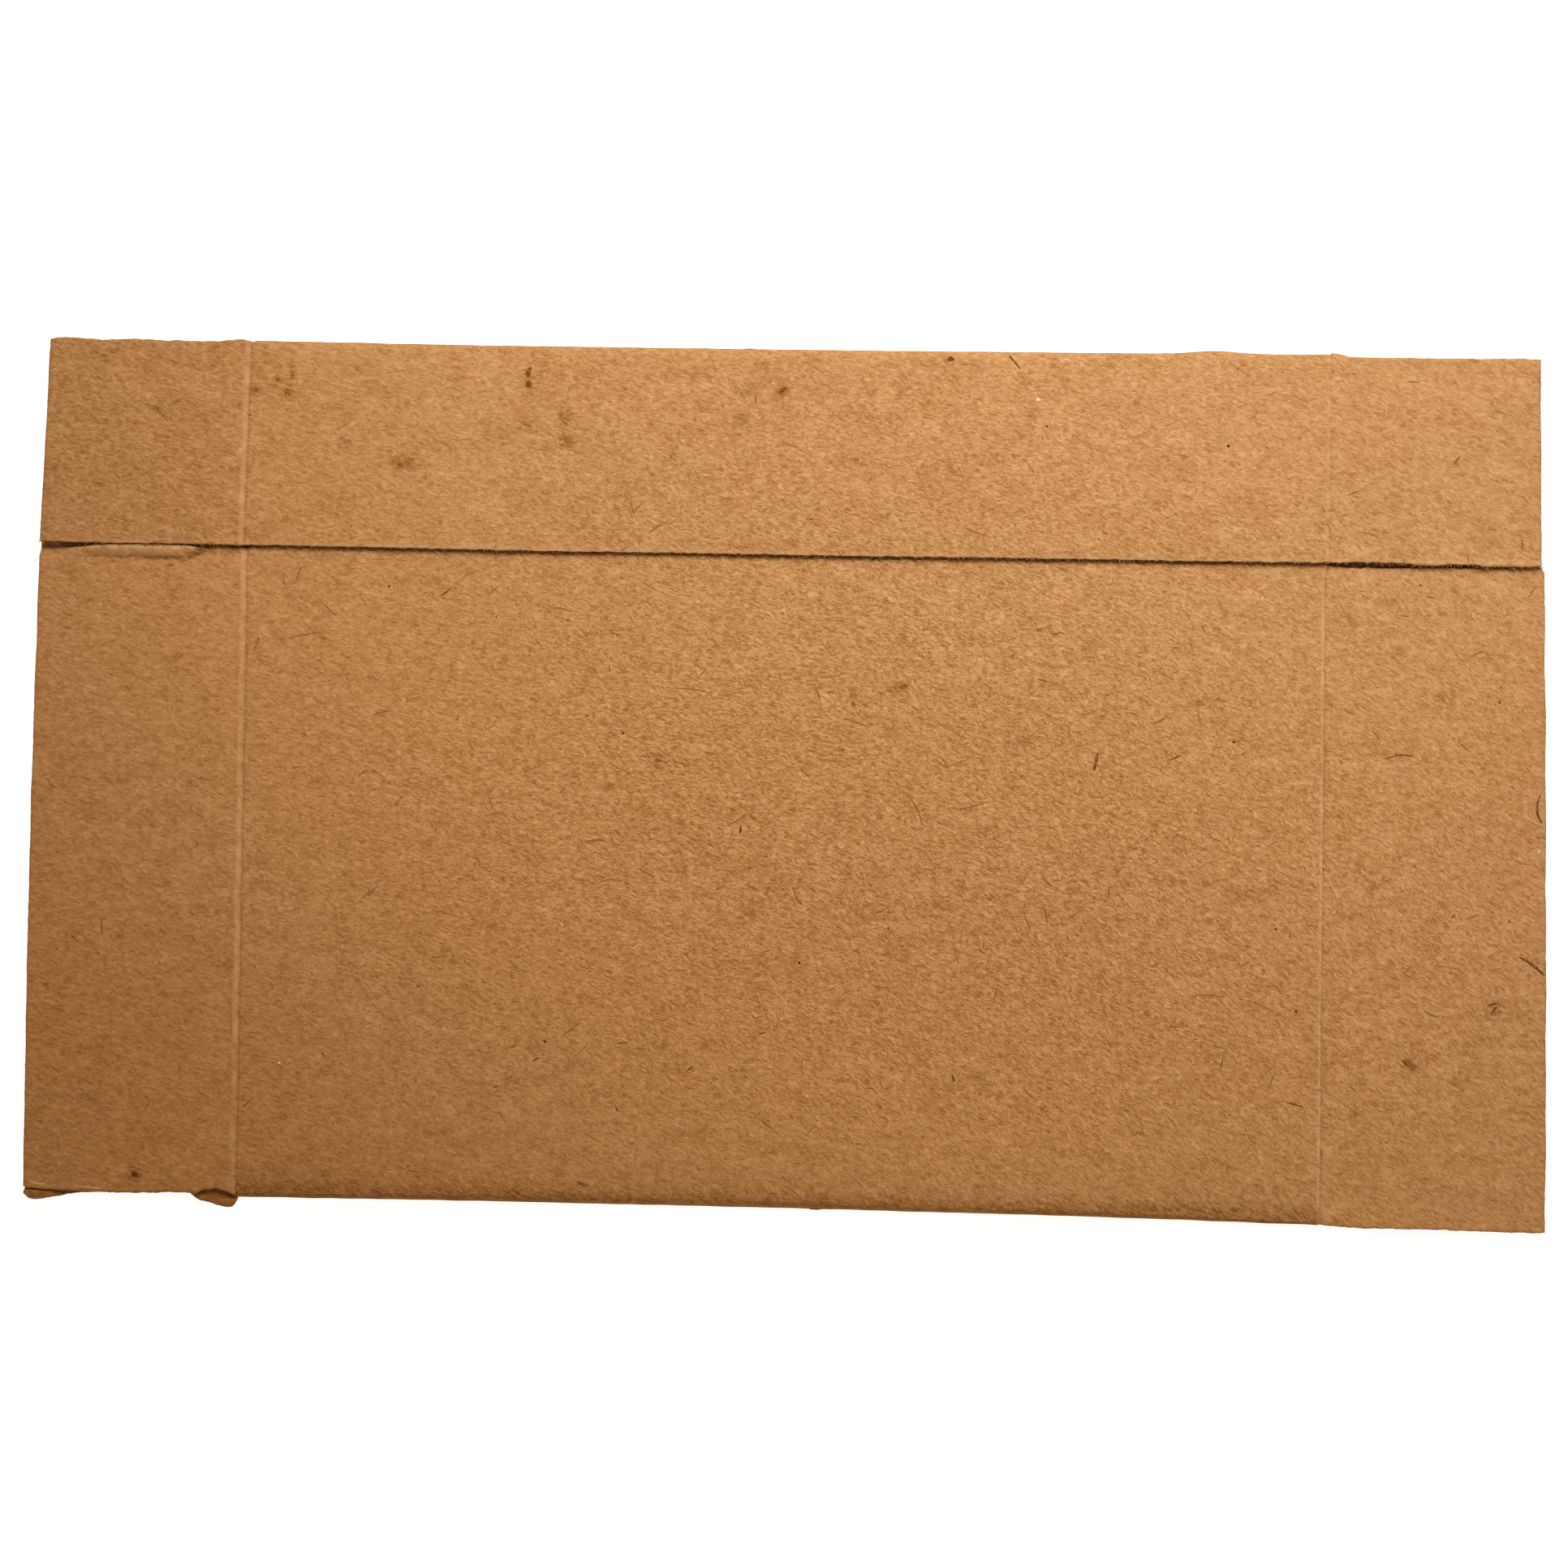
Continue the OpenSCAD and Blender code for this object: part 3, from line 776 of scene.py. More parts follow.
def shaded_raw_edge():
    """Cut edge of the board: layers of pulp, dull, and painted much darker than the face as shade on edges
    that face away from the lamp.
    """
    material, tree, shader = new_material("shaded_raw_edge", 0.95, 0.1)
    _, place = board_place(tree)
    layers = grain(tree, place, 1.4, 0.16, 0, 3, 0.6, 3)
    # Painted shade: the tones of the edge are held well below those of the face
    colour = two_tones(tree, layers, 0.3, (0.125, 0.043, 0.003), 0.7, (0.30, 0.125, 0.022))
    tree.links.new(colour, shader.inputs["Base Color"])
    roughen(tree, shader, layers, 1.0, 0.2)
    return material


def coloured_strands():
    """Single fibres, shives and specks, each in the colour stored with it and partly sunk in the pulp; a
    few laid strands are painted highlight and painted shade.
    """
    material, tree, shader = new_material("fibres", 0.95, 0.03)
    stored_colour = node(tree, "ShaderNodeAttribute", {}, attribute_name="stored_colour").outputs["Color"]
    girth = node(tree, "ShaderNodeAttribute", {}, attribute_name="girth").outputs["Fac"]
    _, place = board_place(tree)
    sunk = step(tree, grain(tree, place, 0.5, 0.22, -30, 2, 0.6, 7), 0.42, 0.62, 0.0, 0.6)
    sunk = calc(tree, "MULTIPLY", sunk, girth, clamp=True)
    tree.links.new(tint(tree, sunk, stored_colour, (0.42, 0.19, 0.065, 1)), shader.inputs["Base Color"])
    return material


# Loose fibres

FIBRE_INPUTS = (("Board", "Geometry"), ("Fibres per mm2", "Float"), ("Shortest", "Float"),
                ("Longest", "Float"), ("Width", "Float"), ("Seed", "Int"), ("Material", "Material"))
# Dyes of fibres on a face and on a raw edge: place on a ramp, shade
FACE_DYES = ((0.0, (0.20, 0.070, 0.012)), (0.25, (0.26, 0.096, 0.018)), (0.7, (0.36, 0.145, 0.034)),
             (0.75, (0.52, 0.26, 0.100)), (1.0, (0.64, 0.36, 0.165)))
EDGE_DYES = ((0.0, (0.15, 0.054, 0.008)), (0.5, (0.25, 0.105, 0.025)), (1.0, (0.45, 0.225, 0.080)))


def random(tree, low, high, seed, shift):
    """A random number for each element."""
    return node(tree, "FunctionNodeRandomValue", {2: low, 3: high, 8: calc(tree, "ADD", seed, shift)},
                data_type="FLOAT").outputs[1]


def random_dye(tree, seed, stored_colours):
    """A random colour for each fibre."""
    ramp = node(tree, "ShaderNodeValToRGB", {"Fac": random(tree, 0.0, 1.0, seed, 4)})
    elements = ramp.color_ramp.elements
    for place, _ in stored_colours[1:-1]:
        elements.new(place)
    for element, (place, shade) in zip(elements, stored_colours):
        element.position = place
        element.color = (*shade, 1)
    return ramp.outputs["Color"]


def named(tree, attribute):
    """A number that is stored with the geometry."""
    return node(tree, "GeometryNodeInputNamedAttribute", {"Name": attribute}, data_type="FLOAT").outputs[0]


def store(tree, fibres, attribute, value, kind):
    """Store a value with each fibre."""
    inputs = {"Geometry": fibres, "Name": attribute, "Value": value}
    return node(tree, "GeometryNodeStoreNamedAttribute", inputs, data_type=kind,
                domain="INSTANCE").outputs[0]


def fibre_roots(tree, given, on_edge):
    """The faces that fibres grow on, and the points that they grow from."""
    slot = node(tree, "GeometryNodeInputMaterialIndex", {}).outputs[0]
    wanted = node(tree, "FunctionNodeCompare", {2: slot, 3: 1 if on_edge else 0}, data_type="INT",
                  operation="EQUAL").outputs[0]
    host = node(tree, "GeometryNodeSeparateGeometry", {"Geometry": given["Board"], "Selection": wanted},
                domain="FACE").outputs["Selection"]
    density = calc(tree, "MULTIPLY", given["Fibres per mm2"], 1 / MM ** 2)
    if on_edge:
        more = calc(tree, "MULTIPLY_ADD", named(tree, "fringe"), 0.7, 0.3)
        density = calc(tree, "MULTIPLY", density, more)
    points = node(tree, "GeometryNodeDistributePointsOnFaces", {
        "Mesh": host, "Density": density, "Seed": given["Seed"]})
    return host, points.outputs


def standing_turn(tree, seed, normal):
    """Turn of a fibre that stands out of a raw edge and strays upwards and aside."""
    stray = node(tree, "ShaderNodeCombineXYZ", {
        0: random(tree, -0.9, 0.9, seed, 2), 1: random(tree, -0.5, 0.5, seed, 3),
        2: random(tree, 0.0, 1.2, seed, 6)}).outputs[0]
    aim = vector(tree, "ADD", {0: normal, 1: stray})
    return node(tree, "FunctionNodeAlignRotationToVector", {"Vector": aim}, axis="Z").outputs[0]


def straight_fibres(tree, given, points, on_edge):
    """A straight line at each root, with its own length, turn, girth and dye."""
    seed = given["Seed"]
    length = calc(tree, "MULTIPLY", MM, random(tree, given["Shortest"], given["Longest"], seed, 1))
    girth = random(tree, 0.6, 1.3, seed, 5)
    if on_edge:
        fringe = named(tree, "fringe")
        length = calc(tree, "MULTIPLY", length, calc(tree, "MULTIPLY_ADD", fringe, 0.8, 0.2))
        girth = calc(tree, "MULTIPLY", girth, calc(tree, "MULTIPLY_ADD", fringe, 0.5, 0.5))
        turn = standing_turn(tree, seed, points["Normal"])
        size = (length, length, length)
        start, end, count, stored_colours = (0, 0, -0.1), (0, 0, 1), 5, EDGE_DYES
    else:
        turn = node(tree, "ShaderNodeCombineXYZ", {2: random(tree, -1.7, 1.2, seed, 2)}).outputs[0]
        size = (length, MM, MM)
        start, end, count, stored_colours = (-0.5, 0, 0), (0.5, 0, 0), 8, FACE_DYES
    line = node(tree, "GeometryNodeCurvePrimitiveLine", {"Start": start, "End": end}).outputs[0]
    line = node(tree, "GeometryNodeResampleCurve", {"Curve": line, "Count": count}).outputs[0]
    size = node(tree, "ShaderNodeCombineXYZ", dict(enumerate(size))).outputs[0]
    fibres = node(tree, "GeometryNodeInstanceOnPoints", {
        "Points": points["Points"], "Rotation": turn, "Instance": line, "Scale": size}).outputs[0]
    fibres = store(tree, fibres, "stored_colour", random_dye(tree, seed, stored_colours), "FLOAT_COLOR")
    fibres = store(tree, fibres, "girth", girth, "FLOAT")
    return node(tree, "GeometryNodeRealizeInstances", {"Geometry": fibres}).outputs[0]


def bent_fibres(tree, fibres, host, on_edge):
    """Fibres that noise has bent, pressed onto the board where they lie on its face."""
    place = node(tree, "GeometryNodeInputPosition", {}).outputs[0]
    scale = 2500 if on_edge else 550
    noise = node(tree, "ShaderNodeTexNoise", {"Vector": place, "Scale": scale, "Detail": 0.0})
    bend = vector(tree, "SUBTRACT", {0: noise.outputs["Color"], 1: (0.5, 0.5, 0.5)})
    bend = vector(tree, "SCALE", {0: bend, "Scale": 0.12 * MM if on_edge else 0.7 * MM})
    fibres = node(tree, "GeometryNodeSetPosition", {"Geometry": fibres, "Offset": bend}).outputs[0]
    if not on_edge:
        rest = node(tree, "GeometryNodeProximity", {0: host}, target_element="FACES").outputs["Position"]
        fibres = node(tree, "GeometryNodeSetPosition", {
            "Geometry": fibres, "Position": rest, "Offset": (0, 0, -0.004 * MM)}).outputs[0]
    return node(tree, "GeometryNodeSetCurveNormal", {"Curve": fibres}, mode="Z_UP").outputs[0]


def fibre_skin(tree, given, fibres, on_edge):
    """Tapered skin round each fibre: three-sided on a raw edge, flat and four-sided on a face."""
    along = node(tree, "GeometryNodeSplineParameter", {}).outputs["Factor"]
    from_middle = calc(tree, "ABSOLUTE", calc(tree, "MULTIPLY_ADD", along, 2.0, -1.0))
    taper = calc(tree, "MULTIPLY", calc(tree, "POWER", from_middle, 3.0), 0.75)
    taper = calc(tree, "MULTIPLY", calc(tree, "SUBTRACT", 1.0, taper), named(tree, "girth"))
    half = calc(tree, "MULTIPLY", calc(tree, "MULTIPLY", given["Width"], MM / 2), taper)
    sides = 3 if on_edge else 4
    ring = node(tree, "GeometryNodeCurvePrimitiveCircle", {"Resolution": sides, "Radius": 1.0}).outputs[0]
    flatness = (1, 1, 1) if on_edge else (1, 0.4, 1)
    ring = node(tree, "GeometryNodeTransform", {"Geometry": ring, "Scale": flatness}).outputs[0]
    return node(tree, "GeometryNodeCurveToMesh", {
        "Curve": fibres, "Profile Curve": ring, "Scale": half, "Fill Caps": True}).outputs[0]


def fibre_tree(name, on_edge):
    """Fibres scattered over one kind of face: lying on the board, or standing out of a raw edge."""
    tree = bpy.data.node_groups.new(name, "GeometryNodeTree")
    tree.is_modifier = True
    for socket, kind in FIBRE_INPUTS:
        tree.interface.new_socket(socket, in_out="INPUT", socket_type="NodeSocket" + kind)
    tree.interface.new_socket("Fibres", in_out="OUTPUT", socket_type="NodeSocketGeometry")
    given = node(tree, "NodeGroupInput", {}).outputs
    host, points = fibre_roots(tree, given, on_edge)
    fibres = straight_fibres(tree, given, points, on_edge)
    fibres = bent_fibres(tree, fibres, host, on_edge)
    skin = fibre_skin(tree, given, fibres, on_edge)
    skin = node(tree, "GeometryNodeRealizeInstances", {"Geometry": skin}).outputs[0]
    dyed = node(tree, "GeometryNodeSetMaterial", {"Geometry": skin, "Material": given["Material"]})
    node(tree, "NodeGroupOutput", {"Fibres": dyed.outputs[0]})
    return tree


def grow(name, board_piece, tree, density, sizes, seed, material):
    """Plain mesh of the fibres that a tree grows on one piece of board."""
    shortest, longest, width = sizes
    piece = bpy.data.objects.new(name, board_piece.data)
    bpy.context.scene.collection.objects.link(piece)
    modifier = piece.modifiers.new("fibres", "NODES")
    modifier.node_group = tree
    sockets = {item.name: item.identifier for item in tree.interface.items_tree if item.in_out == "INPUT"}
    for socket, value in (("Fibres per mm2", density), ("Shortest", shortest), ("Longest", longest),
                          ("Width", width), ("Seed", seed), ("Material", material)):
        modifier[sockets[socket]] = value
    depsgraph = bpy.context.evaluated_depsgraph_get()
    grown = bpy.data.meshes.new_from_object(piece.evaluated_get(depsgraph), depsgraph=depsgraph)
    piece.modifiers.remove(modifier)
    piece.data = grown
    return piece


# Fibres, shives and specks laid one by one: colours, then path or place, width or radii, colour

INK = (0.035, 0.013, 0.003)
SEED = (0.085, 0.032, 0.004)
BARK = (0.13, 0.044, 0.005)
RUST = (0.155, 0.048, 0.003)
SHIVE = (0.19, 0.068, 0.011)
BROWN = (0.25, 0.094, 0.018)
# Pale strands along the lower edge of the left main flap: painted highlight on that edge's rim
PAINTED_RIM_HIGHLIGHT = (0.56, 0.32, 0.15)
CHAFF = (0.80, 0.55, 0.34)
# Width of a laid fibre over its written width, and how far it and a speck are sunk in the pulp
LAID_SWELL = 1.45
FIBRE_SUNK = 0.7
SPECK_SUNK = 0.15
# Laid fibres, shives and specks, with a few strands of painted highlight and painted shade
LAID_FIBRES_AND_PAINTED_LIGHT = (
    (((-10.5, 8.7), (-9.1, 8.7), (-7.6, 8.4)), 0.16, BROWN),
    (((-5.3, -5.0), (-4.3, -4.5), (-3.3, -3.8)), 0.15, BROWN),
    (((12.3, -1.2), (13.2, -2.1), (13.8, -3.2), (14.2, -4.4)), 0.16, BROWN),
    (((-14.2, -9.35), (-13.4, -9.75), (-12.5, -10.2)), 0.2, BROWN),
    (((-15.8, -26.9), (-14.8, -26.8)), 0.17, BARK),
    (((-27.1, -27.7), (-26.5, -27.5), (-25.9, -27.3)), 0.26, BROWN),
    (((-28.2, -31.6), (-27.6, -31.4)), 0.13, BARK), (((-15.9, -33.0), (-15.7, -33.7)), 0.13, BARK),
    (((-19.6, -40.8), (-18.5, -41.2)), 0.2, BARK),
    (((1.4, -10.9), (1.7, -11.9), (2.4, -12.7)), 0.2, BROWN),
    (((-1.7, -25.7), (-1.1, -25.5)), 0.13, BARK),
    (((3.8, 10.0), (4.6, 10.1), (5.3, 10.2)), 0.16, BROWN),
    (((17.8, -2.9), (18.9, -2.7), (20.1, -2.3)), 0.18, BROWN),
    (((26.1, -9.0), (26.5, -9.8), (27.2, -10.4)), 0.22, BROWN),
    (((26.4, -12.1), (26.6, -13.0), (26.8, -14.1)), 0.16, BROWN),
    (((38.5, 2.3), (39.2, 2.6), (39.7, 2.9)), 0.16, BARK),
    (((36.9, 5.9), (37.5, 6.2), (38.2, 6.6)), 0.2, BROWN), (((32.8, -10.4), (32.9, -11.3)), 0.2, BROWN),
    (((21.9, -20.5), (21.8, -21.2), (21.6, -21.9)), 0.17, BROWN),
    (((-1.3, -11.9), (-1.1, -11.4), (-0.9, -10.9)), 0.24, BROWN),
    (((19.5, -0.3), (19.7, -0.7), (19.5, -1.1)), 0.14, BROWN),
    (((-34.8, 17.6), (-34.2, 17.8), (-33.5, 18.5)), 0.15, BARK),
    (((-46.4, 16.6), (-45.8, 16.0), (-45.1, 15.5)), 0.16, BROWN),
    (((-49.9, 13.1), (-48.2, 13.5), (-46.6, 13.8)), 0.13, BROWN),
    (((-53.4, 11.7), (-53.1, 12.5), (-52.9, 13.2)), 0.18, BROWN),
    (((-19.4, -6.8), (-18.4, -6.6), (-17.5, -6.7)), 0.22, BROWN),
    (((-49.2, 18.8), (-49.1, 19.6), (-48.7, 20.4)), 0.13, BROWN),
    (((-31.4, 2.1), (-30.9, 1.3)), 0.14, BROWN), (((59.9, 2.9), (61.4, 3.35), (62.7, 3.2)), 0.18, BARK),
    (((75.3, -0.3), (74.9, -1.2), (74.9, -2.4), (75.4, -3.2)), 0.24, BARK),
    (((68.2, 13.1), (68.9, 13.6), (69.6, 13.7)), 0.16, BROWN),
    (((68.0, -12.8), (69.4, -12.4)), 0.15, BROWN),
    (((-17.8, -10.8), (-16.9, -10.5), (-15.7, -10.7)), 0.14, BROWN),
    (((16.4, 1.2), (17.6, 1.7), (18.8, 2.2)), 0.13, BROWN),
    (((6.1, 6.0), (7.2, 5.7), (8.7, 5.2)), 0.15, BROWN),
    (((40.9, -21.0), (42.8, -20.8), (44.5, -21.1)), 0.15, BROWN),
    (((46.5, -21.2), (48.0, -21.7), (49.3, -22.4)), 0.15, BROWN),
    (((48.5, -19.9), (49.5, -19.7), (50.0, -20.6)), 0.13, BROWN),
    (((50.7, -31.3), (52.3, -31.7)), 0.2, BARK),
    # A dark strand laid as painted shade along a wrinkle of the left side flap
    (((-64.75, 36.55), (-63.9, 36.15), (-63.1, 35.5), (-62.5, 34.7)), 0.2, BROWN),
    (((22.0, 42.5), (23.2, 41.1)), 0.16, BARK), (((31.55, 3.1), (31.4, 2.2), (31.2, 1.2)), 0.3, BARK),
    (((-3.9, -4.9), (-3.95, -5.7)), 0.22, BARK), (((70.3, -21.3), (71.4, -21.0)), 0.2, BARK),
    (((70.6, -22.2), (71.2, -21.4)), 0.2, BARK),
    (((73.2, -16.4), (74.4, -17.0), (75.8, -18.2)), 0.26, BARK),
    (((-45.6, -28.3), (-45.2, -28.9)), 0.14, BARK), (((-24.4, -28.9), (-23.6, -28.5)), 0.18, BARK),
    (((17.6, -29.2), (17.8, -30.0)), 0.22, BARK),
    # This strand and the next are painted highlight along the lower edge of the left main flap
    (((-74.9, -42.0), (-74.3, -42.2), (-73.2, -42.3)), 0.16, PAINTED_RIM_HIGHLIGHT),
    (((-70.4, -42.35), (-67.5, -42.6)), 0.13, PAINTED_RIM_HIGHLIGHT), (((-8.9, -29.6), (-8.2, -29.0)), 0.16, BARK),
    (((-21.6, -26.4), (-20.4, -25.6), (-19.8, -25.0)), 0.18, BROWN),
)
LAID_SPECKS = (
    (16.2, 42.0, 0.35, 0.3, 0, BARK), (25.0, 38.1, 0.3, 0.22, 0, CHAFF), (43.9, 33.7, 0.2, 0.2, 0, INK),
    (25.9, 35.4, 0.16, 0.16, 0, INK), (-15.9, 4.1, 0.22, 0.16, 0, INK), (2.2, -18.5, 0.2, 0.18, 0, INK),
    (-39.8, 18.5, 0.16, 0.16, 0, INK), (45.0, 4.3, 0.2, 0.18, 0, INK), (51.5, -22.3, 0.2, 0.18, 0, INK),
    (47.6, 18.7, 0.12, 0.12, 0, CHAFF), (2.6, 25.8, 0.12, 0.12, 0, INK),
    (-64.2, -41.1, 0.42, 0.4, 0, SEED), (7.15, 7.45, 0.2, 0.4, 25, SHIVE),
    (62.7, -27.3, 1.1, 0.55, -40, BROWN), (62.3, -27.2, 0.7, 0.16, -40, BARK),
    (-49.8, -29.6, 0.2, 0.12, 0, CHAFF), (72.3, -13.0, 0.15, 0.15, 0, BARK),
    (75.2, -6.0, 0.12, 0.2, 0, CHAFF), (-17.1, 14.1, 0.14, 0.12, 0, BARK),
    (-21.7, 15.4, 0.16, 0.12, 0, BARK), (-28.9, 15.6, 0.1, 0.16, 0, BARK),
    (-19.5, 5.8, 0.12, 0.18, 0, BARK), (-32.6, 5.2, 0.16, 0.12, 0, BARK),
    (71.1, 8.7, 0.14, 0.22, 0, BARK), (71.2, 10.2, 0.14, 0.12, 0, BARK),
    (63.2, 20.2, 0.16, 0.16, 0, BARK), (11.0, -14.9, 0.14, 0.22, 0, BARK),
    (49.4, -14.2, 0.15, 0.15, 0, INK), (-23.1, -26.9, 0.3, 0.19, -30, BARK),
    (-25.95, 40.5, 0.2, 0.3, -20, RUST), (-26.15, 40.0, 0.36, 0.42, 0, RUST),
    (-26.05, 38.95, 0.44, 0.44, 20, RUST), (-51.4, 39.1, 0.16, 0.24, 20, RUST),
    (-50.55, 37.75, 0.14, 0.2, 30, RUST), (-50.2, 37.7, 0.12, 0.2, -30, RUST),
    (-49.95, 39.6, 0.1, 0.2, 0, RUST), (-0.5, 38.7, 0.5, 0.24, 40, RUST),
)


def soften(path):
    """Round the corners of a path."""
    path = np.array(path, float)
    for _ in range(3):
        inner = np.repeat(path, 2, 0)[1:-1]
        cut = 0.75 * inner + 0.25 * inner.reshape(-1, 2, 2)[:, ::-1].reshape(-1, 2)
        path = np.concatenate([path[:1], cut, path[-1:]])
    return path


def fibre_shape(path, width):
    """Closed spindle along a path: points as x, y and height over the board, and faces."""
    path = soften(path)
    heading = np.gradient(path, axis=0)
    aside = np.stack([heading[:, 1], -heading[:, 0]], 1) / np.linalg.norm(heading, axis=1, keepdims=True)
    swell = np.sin(np.linspace(0, 1, len(path)) ** 1.4 * math.pi)[1:-1, None] ** 0.6 * width / 2
    middle, aside = path[1:-1], aside[1:-1]
    flat = [np.concatenate([middle + aside * swell * k, 0 * swell + h], 1)
            for k, h in ((-1, -0.01), (0, 0.03), (1, -0.01), (0, -0.05))]
    rings = np.stack(flat, 1)
    count = len(rings)
    tips = [np.append(tip, -0.02)[None] for tip in (path[0], path[-1])]
    points = np.concatenate([rings.reshape(-1, 3), *tips])
    faces = []
    for k in range(4):
        a, b = np.arange(count) * 4 + k, np.arange(count) * 4 + (k + 1) % 4
        faces += np.stack([a[:-1], b[:-1], b[1:], a[1:]], 1).tolist()
        faces += [[int(b[0]), int(a[0]), 4 * count], [int(a[-1]), int(b[-1]), 4 * count + 1]]
    return points, faces


def speck_shape(x, y, rx, ry, angle):
    """Closed ragged grain, low on the board."""
    turn = np.arange(14) * math.tau / 14
    ragged = 1 + 0.6 * line_noise(turn * 1.9 + 7 * x + 3 * y, 64)
    c, s = math.cos(math.radians(angle)), math.sin(math.radians(angle))
    u, v = rx * ragged * np.cos(turn), ry * ragged * np.sin(turn)
    ring = np.stack([x + u * c - v * s, y + u * s + v * c, 0 * turn - 0.01], 1)
    points = np.concatenate([ring, [[x, y, 0.03], [x, y, -0.06]]])
    faces = [[k, (k + 1) % 14, 14] for k in range(14)] + [[(k + 1) % 14, k, 15] for k in range(14)]
    return points, faces


def lay(name, shapes, top_z, relief, material):
    """One mesh of listed shapes that lie on the relief of a face."""
    points, faces, stored_colours, girths = [], [], [], []
    for (shape, shape_faces), stored_colour, girth in shapes:
        faces += [[len(points) + k for k in face] for face in shape_faces]
        shape[:, 2] += top_z + relief(shape[:, 0], shape[:, 1])
        points += shape.tolist()
        stored_colours += [(*stored_colour, 1)] * len(shape)
        girths += [girth] * len(shape)
    piece = add_object(name, points, faces, [0] * len(faces), [material])
    piece.data.attributes.new("stored_colour", "FLOAT_COLOR", "POINT").data.foreach_set("color", np.ravel(stored_colours))
    piece.data.attributes.new("girth", "FLOAT", "POINT").data.foreach_set("value", girths)
    return piece


def laid_on(low_x, high_x, low_y, high_y):
    """The listed shapes whose middle lies in a part of the board."""
    found = []
    for path, width, stored_colour in LAID_FIBRES_AND_PAINTED_LIGHT:
        x, y = np.mean(path, 0)
        if low_x < x < high_x and low_y < y < high_y:
            found.append((fibre_shape(path, LAID_SWELL * width), stored_colour, FIBRE_SUNK))
    for x, y, rx, ry, angle, stored_colour in LAID_SPECKS:
        if low_x < x < high_x and low_y < y < high_y:
            found.append((speck_shape(x, y, rx, ry, angle), stored_colour, SPECK_SUNK))
    return found


# Stage, light and camera

FLOOR_HALF = 1500
FLOOR_DROP = 0.1
FLOOR_GLOW = 0.78
FILL_COLOUR = (1, 0.84, 0.66)
FILL_STRENGTH = 0.354
KEY_PLACE = (32, 112, 165)
KEY_AIM = (45, 40, 0)
KEY_COLOUR = (0.925, 0.98, 1.0)
KEY_WATTS = 0.468
KEY_SIZE = 110
# Place of the camera, with its height over the front panel, and its turn in degrees
CAMERA_PLACE = (6.88, -5.34, 217.55)
CAMERA_TURN = (1.257, 1.698, 1.087)


def stage():
    """Pale floor that looks white to the camera and keeps the shadow of the carton."""
    half, drop = FLOOR_HALF * MM, FLOOR_DROP * MM
    corners = [(-half, -half, -drop), (half, -half, -drop), (half, half, -drop), (-half, half, -drop)]
    mesh = bpy.data.meshes.new("floor")
    mesh.from_pydata(corners, [], [(0, 1, 2, 3)])
    floor = bpy.data.objects.new("floor", mesh)
    bpy.context.scene.collection.objects.link(floor)
    material, tree, shader = new_material("pale_floor", 1.0, 0.0)
    shader.inputs["Base Color"].default_value = (0.9, 0.9, 0.9, 1)
    path = node(tree, "ShaderNodeLightPath", {}).outputs
    seen = calc(tree, "MAXIMUM", path["Is Camera Ray"], path["Is Glossy Ray"])
    seen = calc(tree, "MAXIMUM", seen, path["Is Transmission Ray"])
    shader.inputs["Emission Color"].default_value = (1, 1, 1, 1)
    tree.links.new(calc(tree, "MULTIPLY", seen, FLOOR_GLOW), shader.inputs["Emission Strength"])
    mesh.materials.append(material)


def light():
    """Warm fill from all round, white to the camera, and a soft key lamp at the upper right."""
    world = bpy.data.worlds.new("studio")
    bpy.context.scene.world = world
    world.use_nodes = True
    tree = world.node_tree
    sky = tree.nodes["Background"].inputs
    seen = node(tree, "ShaderNodeLightPath", {}).outputs["Is Camera Ray"]
    fill = (*[FILL_STRENGTH * channel for channel in FILL_COLOUR], 1)
    tree.links.new(tint(tree, seen, fill, (1, 1, 1, 1)), sky["Color"])
    sky["Strength"].default_value = 1
    lamp = bpy.data.lights.new("key", "AREA")
    lamp.energy = KEY_WATTS
    lamp.size = KEY_SIZE * MM
    lamp.color = KEY_COLOUR
    key = bpy.data.objects.new("key", lamp)
    bpy.context.scene.collection.objects.link(key)
    key.visible_camera = False
    key.location = [v * MM for v in KEY_PLACE]
    aim = Vector(KEY_AIM) - Vector(KEY_PLACE)
    key.rotation_euler = aim.to_track_quat("-Z", "Y").to_euler()


def camera():
    """Camera over the carton, fitted to the corners of the sleeve in the photograph."""
    data = bpy.data.cameras.new("camera")
    data.lens = 50
    data.sensor_width = 36
    data.clip_start = 0.01
    data.clip_end = 10
    eye = bpy.data.objects.new("camera", data)
    bpy.context.scene.collection.objects.link(eye)
    x, y, height = CAMERA_PLACE
    eye.location = (x * MM, y * MM, (height + FRONT_TOP) * MM)
    eye.rotation_euler = [math.radians(angle) for angle in CAMERA_TURN]
    bpy.context.scene.camera = eye


# Assembly

KRAFT_DARK, KRAFT_PALE = (0.302, 0.116, 0.0235), (0.62, 0.333, 0.155)
INSIDE_DARK, INSIDE_PALE = (0.36, 0.150, 0.040), (0.66, 0.34, 0.150)
finishes = [kraft_board("kraft_board", KRAFT_DARK, KRAFT_PALE, True), shaded_raw_edge(),
            kraft_board("kraft_inside", INSIDE_DARK, INSIDE_PALE, False)]
fibre = coloured_strands()
surface_fibres = fibre_tree("surface_fibres", False)
edge_fuzz = fibre_tree("edge_fuzz", True)

# Fibres on the faces and fuzz on the raw edges: shortest, longest, width
FIBRE_SIZES = (0.5, 2.0, 0.15)
FUZZ_SIZES = (0.1, 0.4, 0.09)
FUZZ_PER_MM2 = 13.0
FUZZ_SEED = 20
# Fibres per mm2 on the front panel, on the side panel and on the flaps, with more at the right end
PANEL_FIBRES = 0.028
LAP_FIBRES = 0.02
FLAP_FIBRES = 0.014
MORE_AT_RIGHT = 0.004
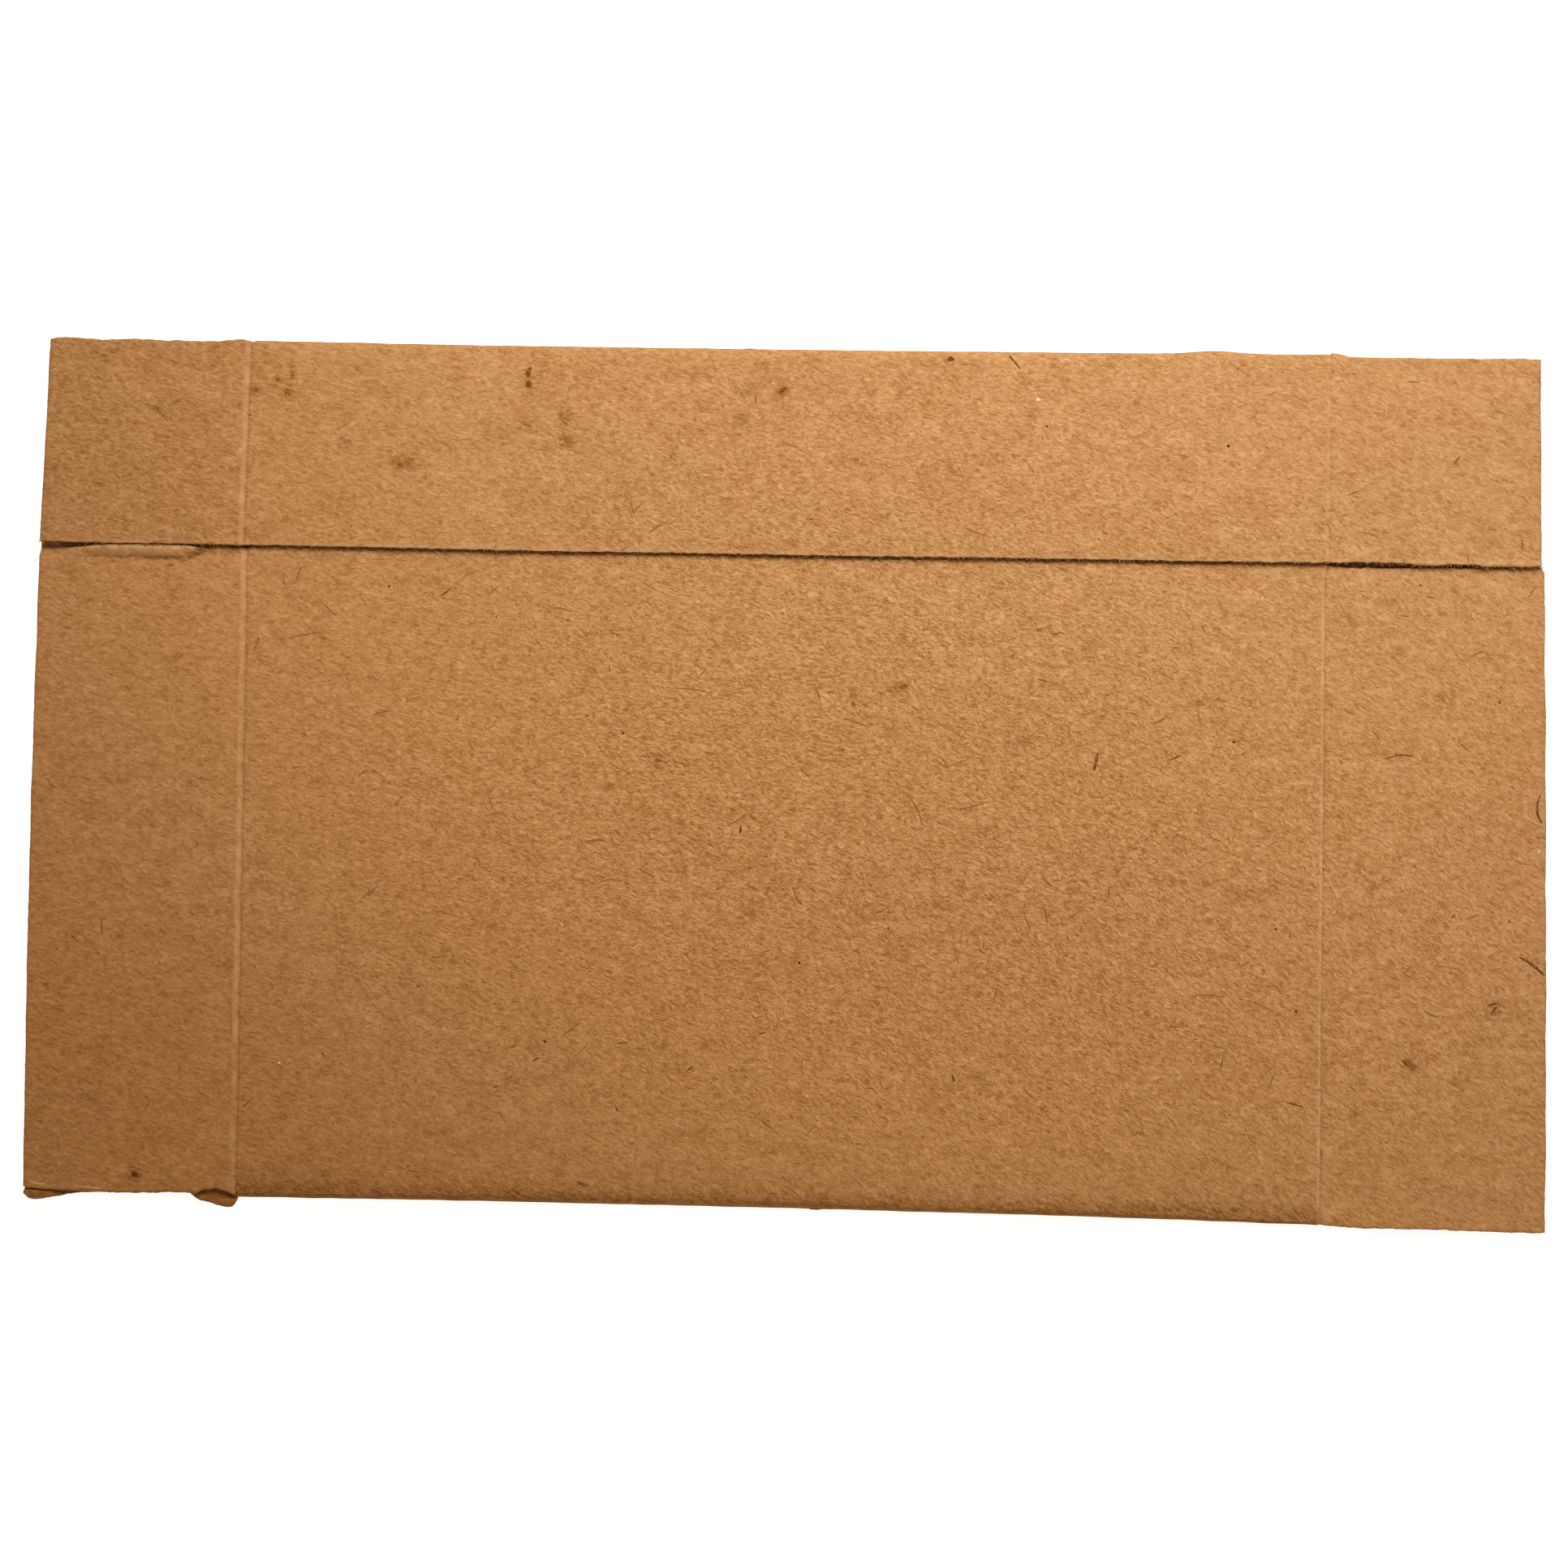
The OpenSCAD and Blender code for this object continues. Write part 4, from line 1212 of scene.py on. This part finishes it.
# Painted shade and sooty dirt on the torn edge of the rear layer, which is open to view
TORN_SHADE_AND_GRIME = 0.5
# A place past the end of any flap
FAR_X = 99


def dress(board_piece, seed, top_z, relief, area, fibres_per_mm2):
    """Marks, fibres and specks on the face of one piece of board, and fuzz on its raw edges."""
    mark(board_piece)
    stem = board_piece.name
    pieces = [
        grow(stem + "_fibres", board_piece, surface_fibres, fibres_per_mm2, FIBRE_SIZES, seed, fibre),
        grow(stem + "_fuzz", board_piece, edge_fuzz, FUZZ_PER_MM2, FUZZ_SIZES, seed + FUZZ_SEED, fibre),
    ]
    shapes = laid_on(*area)
    if shapes:
        pieces.append(lay(stem + "_laid_shapes", shapes, top_z, relief, fibre))
    return pieces


sleeve_pieces = []
board_piece = front_panel(finishes)
panel_area = (-CREASE_X, CREASE_X, LOW_SLIT_Y, SEAM_Y)
sleeve_pieces += [board_piece] + dress(board_piece, 1, FRONT_TOP, front_relief, panel_area, PANEL_FIBRES)
board_piece = side_and_rear(finishes)
panel_area = (-CREASE_X, CREASE_X, SEAM_Y, HIGH_SLIT_Y)
sleeve_pieces += [board_piece] + dress(board_piece, 2, LAP_TOP, lap_relief, panel_area, LAP_FIBRES)

# Rear flaps: name, side, cut, span, wear of the lower edge, relief, seed
REAR_SIDE_SPAN = (LOW_SLIT_Y, REAR_CREASE_Y - SLOT_WIDTH / 2)
REAR_MAIN_SPAN = (REAR_CREASE_Y + SLOT_WIDTH / 2, HIGH_SLIT_Y)
REAR_FLAPS = (
    ("left_rear_side_flap", -1, (21.5, 0.3, 0), REAR_SIDE_SPAN, REAR_TORN, crushed_relief, 60),
    ("left_rear_main_flap", -1, (21.3, 0.1, 0.47), REAR_MAIN_SPAN, REAR_PLAIN, rear_relief, 70),
    ("right_rear_side_flap", 1, (21.4, 0.4, 0), REAR_SIDE_SPAN, REAR_PLAIN, rear_relief, 65),
    ("right_rear_main_flap", 1, (21.9, 0.8, 0), REAR_MAIN_SPAN, REAR_PLAIN, rear_relief, 75),
)
for name, side, cut, span, low_shares, relief, seed in REAR_FLAPS:
    board_piece = flap(name, side, cut, span, (low_shares, REAR_PLAIN), BOARD, relief, finishes, seed)
    mark(board_piece, TORN_SHADE_AND_GRIME if low_shares is REAR_TORN else 0.0)
    sleeve_pieces.append(board_piece)
for piece in sleeve_pieces:
    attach(piece, "sleeve")
    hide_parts("sleeve")

# Front flaps: body, side, cut, span, wear of both edges, seed
MAIN_SPAN = (LOW_SLIT_Y, MAIN_HIGH_Y)
SIDE_SPAN = (SIDE_LOW_Y, HIGH_SLIT_Y)
FLAPS = (
    ("left_main_flap", -1, (21.5, 0.0, 0.22), MAIN_SPAN, (LEFT_MAIN_LOW, LEFT_MAIN_HIGH), 80),
    ("right_main_flap", 1, (22.2, 0.8, 0.13), MAIN_SPAN, (RIGHT_MAIN_LOW, RIGHT_MAIN_HIGH), 90),
    ("left_side_flap", -1, (21.28, 0.6, 0), SIDE_SPAN, (LEFT_SIDE_LOW, LEFT_SIDE_HIGH), 100),
    ("right_side_flap", 1, (20.9, 0.4, 0), SIDE_SPAN, (RIGHT_SIDE_LOW, RIGHT_SIDE_HIGH), 110),
)
for body, side, cut, span, shares, seed in FLAPS:
    top_z, relief = (FRONT_TOP, front_relief) if span is MAIN_SPAN else (LAP_TOP, lap_relief)
    board_piece = flap(body + "_board", side, cut, span, shares, top_z, relief, finishes, seed)
    area = (-FAR_X, -CREASE_X, *span) if side < 0 else (CREASE_X, FAR_X, *span)
    fibres_per_mm2 = FLAP_FIBRES + MORE_AT_RIGHT * side
    for piece in [board_piece] + dress(board_piece, seed, top_z, relief, area, fibres_per_mm2):
        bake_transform(piece)
        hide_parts(body)

stage()
light()
camera()
bpy.context.scene.view_settings.view_transform = "Standard"
